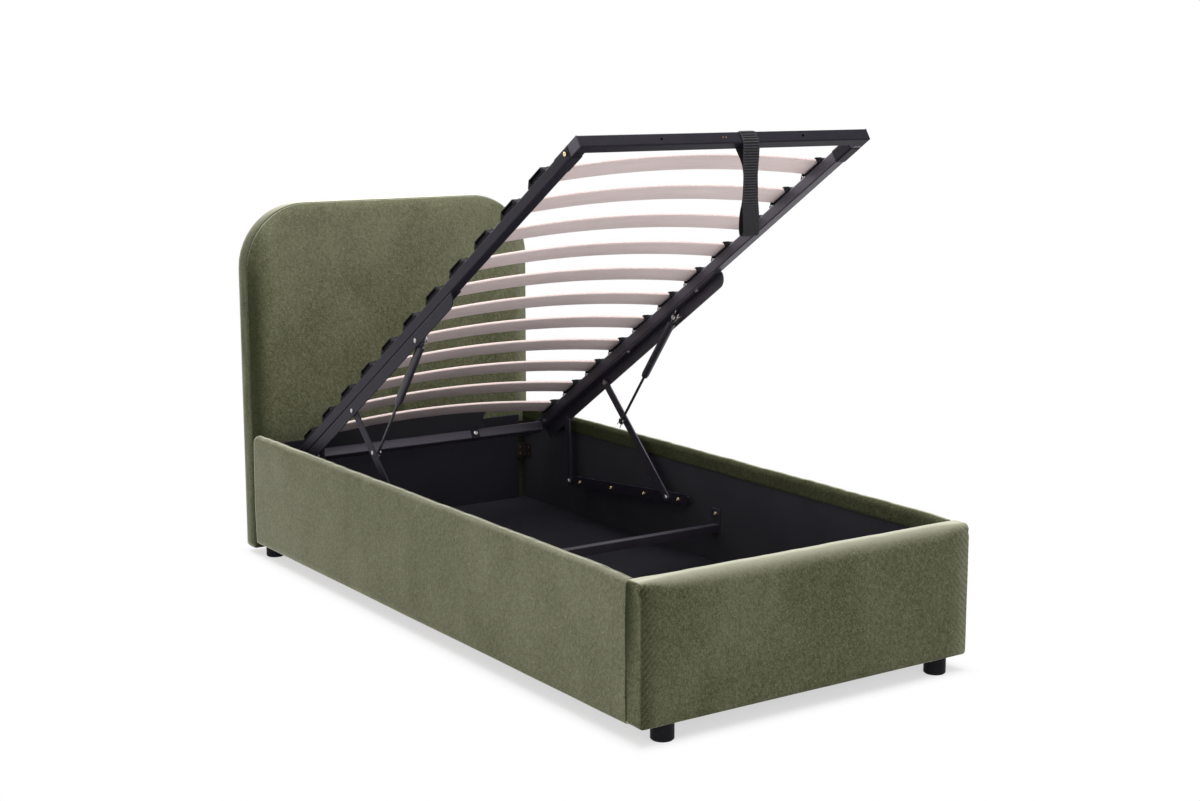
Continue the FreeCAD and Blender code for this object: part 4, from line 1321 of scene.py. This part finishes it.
webbing_width = 0.0475
webbing_thickness = 0.0022
rib_pitch = 0.0064
rib_height = 0.0013
sewn_drop = 0.060
hand_drop = 0.135
webbing_curl = 0.0022
waist_place = 0.36
waist_reach = 0.2
waist_share = 0.13
upper_share = 1.03
flat_start = 0.72
flat_reach = 0.12
edge_share = 0.08
ribbed_share = 0.85
tube_clearance = 0.0003
sewn_gap = 0.0008
hand_lift = 0.012


def webbing_finish():
    """Black ribbed webbing: coarse yarns across the strap, paler on their crowns with dust and a painted
    highlight.
    """
    material, wire, place = start_finish("black_webbing")
    yarn = grain(wire, place, 1.0, 2.0, stretch=(260, 900, 900))
    dust = grain(wire, place, 120.0, 4.0)
    tone = yarn * 0.65 + dust * 0.35
    crown = point_value(wire, "crown")
    colour = mixed(wire, ramped(wire, tone, 0.3, 0.75), (0.0045, 0.0042, 0.0056, 1),
                   (0.015, 0.014, 0.017, 1))
    end_finish(wire, {
        # Paler rib crowns: dust, and a painted highlight.
        "Base Color": mixed(wire, crown * ramped(wire, tone, 0.2, 0.6), colour, (0.070, 0.066, 0.074, 1)),
        "Roughness": 0.52 + yarn * 0.2,
        "Specular IOR Level": 0.3,
        "Normal": relief(wire, yarn, 0.0004, 0.8),
    })
    return material


def strap_route():
    """The strap's middle line in the plane across the foot tube, as a closed loop of points."""
    start, end, under, over = across_lid("foot_tube")
    t = webbing_thickness / 2 + tube_clearance

    def at(y, z):
        return Vector((0, y, z))

    front_low = lid_point(0, start - t, under)
    front_top = lid_point(0, start - t, over + t)
    back_top = lid_point(0, end + t, over + t)
    back_low = lid_point(0, end + t, under - t)
    loop_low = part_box("strap_loop")[0].z
    front_y = front_low.y
    join = front_low.z - sewn_drop
    hand = front_low.z - hand_drop
    behind = front_y + webbing_thickness + sewn_gap
    open_z = (hand + loop_low) / 2 + hand_lift
    low_z = loop_low + hand_lift
    route = [at(front_y - 0.0035, open_z), at(front_y, hand), at(front_y, join),
             at(front_y, (join + front_low.z) / 2), front_low, (front_low + front_top) / 2, front_top,
             (front_top + back_top) / 2, back_top, (back_top + back_low) / 2, back_low,
             at((back_low.y + behind) / 2 - 0.002, (back_low.z + join) / 2), at(behind, join),
             at(behind, hand), at(behind + 0.010, open_z), at(behind + 0.011, low_z),
             at(front_y + 0.0045, loop_low + 0.001), at(front_y - 0.005, low_z)]
    for _ in range(3):
        route = [a * w + b * (1 - w) for a, b in zip(route, route[1:] + route[:1]) for w in (0.75, 0.25)]
    return route


def strap():
    """A ribbon along the route, ribbed across and drawn in at its waist."""
    route = strap_route()
    closed = route + route[:1]
    lengths = np.cumsum([0.0] + [(b - a).length for a, b in zip(closed, closed[1:])])
    total = lengths[-1]
    count = round(total / (rib_pitch / 8))
    walk = np.linspace(0, total, count, endpoint=False)
    line = np.stack([np.interp(walk, lengths, [p[k] for p in closed]) for k in (1, 2)], axis=1)
    ahead = np.roll(line, -1, axis=0) - np.roll(line, 1, axis=0)
    ahead /= np.linalg.norm(ahead, axis=1)[:, None]
    out = np.stack([-ahead[:, 1], ahead[:, 0]], axis=1)
    loop_low, loop_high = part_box("strap_loop")
    middle = (loop_low.x + loop_high.x) / 2
    shares = [-1.0, -0.97, -0.9, -0.8, -0.6, -0.3, 0.0, 0.3, 0.6, 0.8, 0.9, 0.97, 1.0]
    low_z = line[:, 1].min()
    tube_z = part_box("foot_tube")[0].z
    points = []
    crown = []
    for i in range(count):
        (y, z), (oy, oz) = line[i], out[i]
        hang = min(1.0, max(0.0, (tube_z - z) / (tube_z - low_z)))
        waist = waist_share * math.exp(-((hang - waist_place) / waist_reach) ** 2)
        half = webbing_width / 2 * (upper_share - waist)
        ribbed = min(1.0, max(0.12, (flat_start - hang) / flat_reach))
        rib = rib_height * ribbed * math.cos(math.tau * walk[i] / rib_pitch)
        curl = webbing_curl * math.sin(math.pi * hang)
        for side in (1, -1):
            for share in (shares if side > 0 else shares[::-1]):
                body = grow(1 - abs(share), edge_share)
                high = webbing_thickness / 2 * (0.35 + 0.65 * body)
                high += rib if abs(share) < ribbed_share else 0
                off = side * high - curl * share * share
                crown.append(max(0.0, rib / rib_height) ** 2 * body)
                points.append((middle + half * share, y + oy * off, z + oz * off))
    faces = grid_faces(count, 2 * len(shares), row_loop=True, column_loop=True)
    piece = new_piece("pull_strap", points, faces, webbing_finish())
    keep_values(piece, "crown", crown)
    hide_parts("strap_band", "strap_loop")
    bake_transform(piece)


strap()

# Studio
# A plain pale floor that keeps the bed's shadow, and a white surround.
# Four square lamps give soft light from above, behind, the left and the front.

floor_reach = 30.0
floor_lift = 0.60


def seen_directly(wire):
    """1 for rays from the camera, in reflections and through glass, and 0 for those that carry light."""
    seen = wire.node("LightPath", out="Is Camera Ray") + wire.node("LightPath", out="Is Glossy Ray")
    return wire.maths("MINIMUM", seen + wire.node("LightPath", out="Is Transmission Ray"), 1.0)


def floor_finish():
    """Matt white floor, lifted towards white where it is seen, and all white away from the bed."""
    material, wire, place = start_finish("studio_floor")
    matt = wire.node("BsdfDiffuse", {}, {"Color": (0.86, 0.86, 0.87, 1)})
    lift = wire.node("Emission", {}, {"Color": (1, 1, 1, 1), "Strength": 1.0})
    reach = wire.node("VectorMath", {"operation": "ABSOLUTE"}, {0: place})
    beyond_side = wire.node("SeparateXYZ", {}, {0: reach}, out="X") - cad_high.x
    beyond_end = wire.node("SeparateXYZ", {}, {0: reach}, out="Y") - cad_high.y
    beyond = wire.maths("MAXIMUM", beyond_side, beyond_end)
    away = wire.node("MapRange", {"interpolation_type": "SMOOTHSTEP"},
                     {"Value": beyond, "From Min": -0.03, "From Max": 0.042})
    share = seen_directly(wire) * (floor_lift + away * (1 - floor_lift))
    both = wire.node("MixShader", {}, {0: share, 1: matt, 2: lift})
    wire.node("OutputMaterial", {}, {"Surface": both})
    return material


floor = new_piece("studio_floor", [(-floor_reach, -floor_reach, 0), (floor_reach, -floor_reach, 0),
                                   (floor_reach, floor_reach, 0), (-floor_reach, floor_reach, 0)],
                  [(0, 1, 2, 3)], floor_finish())

world = bpy.data.worlds.new("studio")
bpy.context.scene.world = world
world.use_nodes = True
world.node_tree.nodes.clear()
sky = Wire(world.node_tree)
sky_light = sky.node("Background", {}, {"Color": (0.97, 0.98, 1.0, 1), "Strength": 0.50})
sky_white = sky.node("Background", {}, {"Color": (1, 1, 1, 1), "Strength": 1.0})
sky_both = sky.node("MixShader", {}, {0: seen_directly(sky), 1: sky_light, 2: sky_white})
sky.node("OutputWorld", {}, {"Surface": sky_both})


def soft_box(name, place, target, size, power):
    """A square studio lamp aimed at a point."""
    lamp = bpy.data.lights.new(name, "AREA")
    lamp.shape = "SQUARE"
    lamp.size = size
    lamp.energy = power
    holder = bpy.data.objects.new(name, lamp)
    holder.location = place
    holder.rotation_euler = (Vector(target) - Vector(place)).to_track_quat("-Z", "Y").to_euler()
    bpy.context.scene.collection.objects.link(holder)


bed_middle = (0.0, 0.0, 0.45)
soft_box("overhead_softbox", (0.2, -0.2, 3.3), bed_middle, 2.4, 94.0)
soft_box("rear_softbox", (-0.6, 3.6, 2.6), bed_middle, 2.4, 105.0)
soft_box("left_softbox", (-4.4, -1.9, 1.05), bed_middle, 2.0, 55.0)
soft_box("front_softbox", (0.6, -7.5, 3.0), bed_middle, 3.6, 96.0)

# Camera
# Standing off the near left corner of the footboard at about head height, looking down a little.
# The lens and place were fitted to the edges of the footboard, rails and headboard.

camera_data = bpy.data.cameras.new("camera")
camera_data.sensor_width = 36.0
camera_data.lens = 56.42
camera = bpy.data.objects.new("camera", camera_data)
camera.location = (-2.7386, -4.1885, 1.4420)
camera_turn = math.radians(34.28)
camera_fall = math.radians(9.935)
camera.rotation_euler = (math.pi / 2 - camera_fall, 0, -camera_turn)
bpy.context.scene.collection.objects.link(camera)
bpy.context.scene.camera = camera
bpy.context.scene.view_settings.view_transform = "Standard"
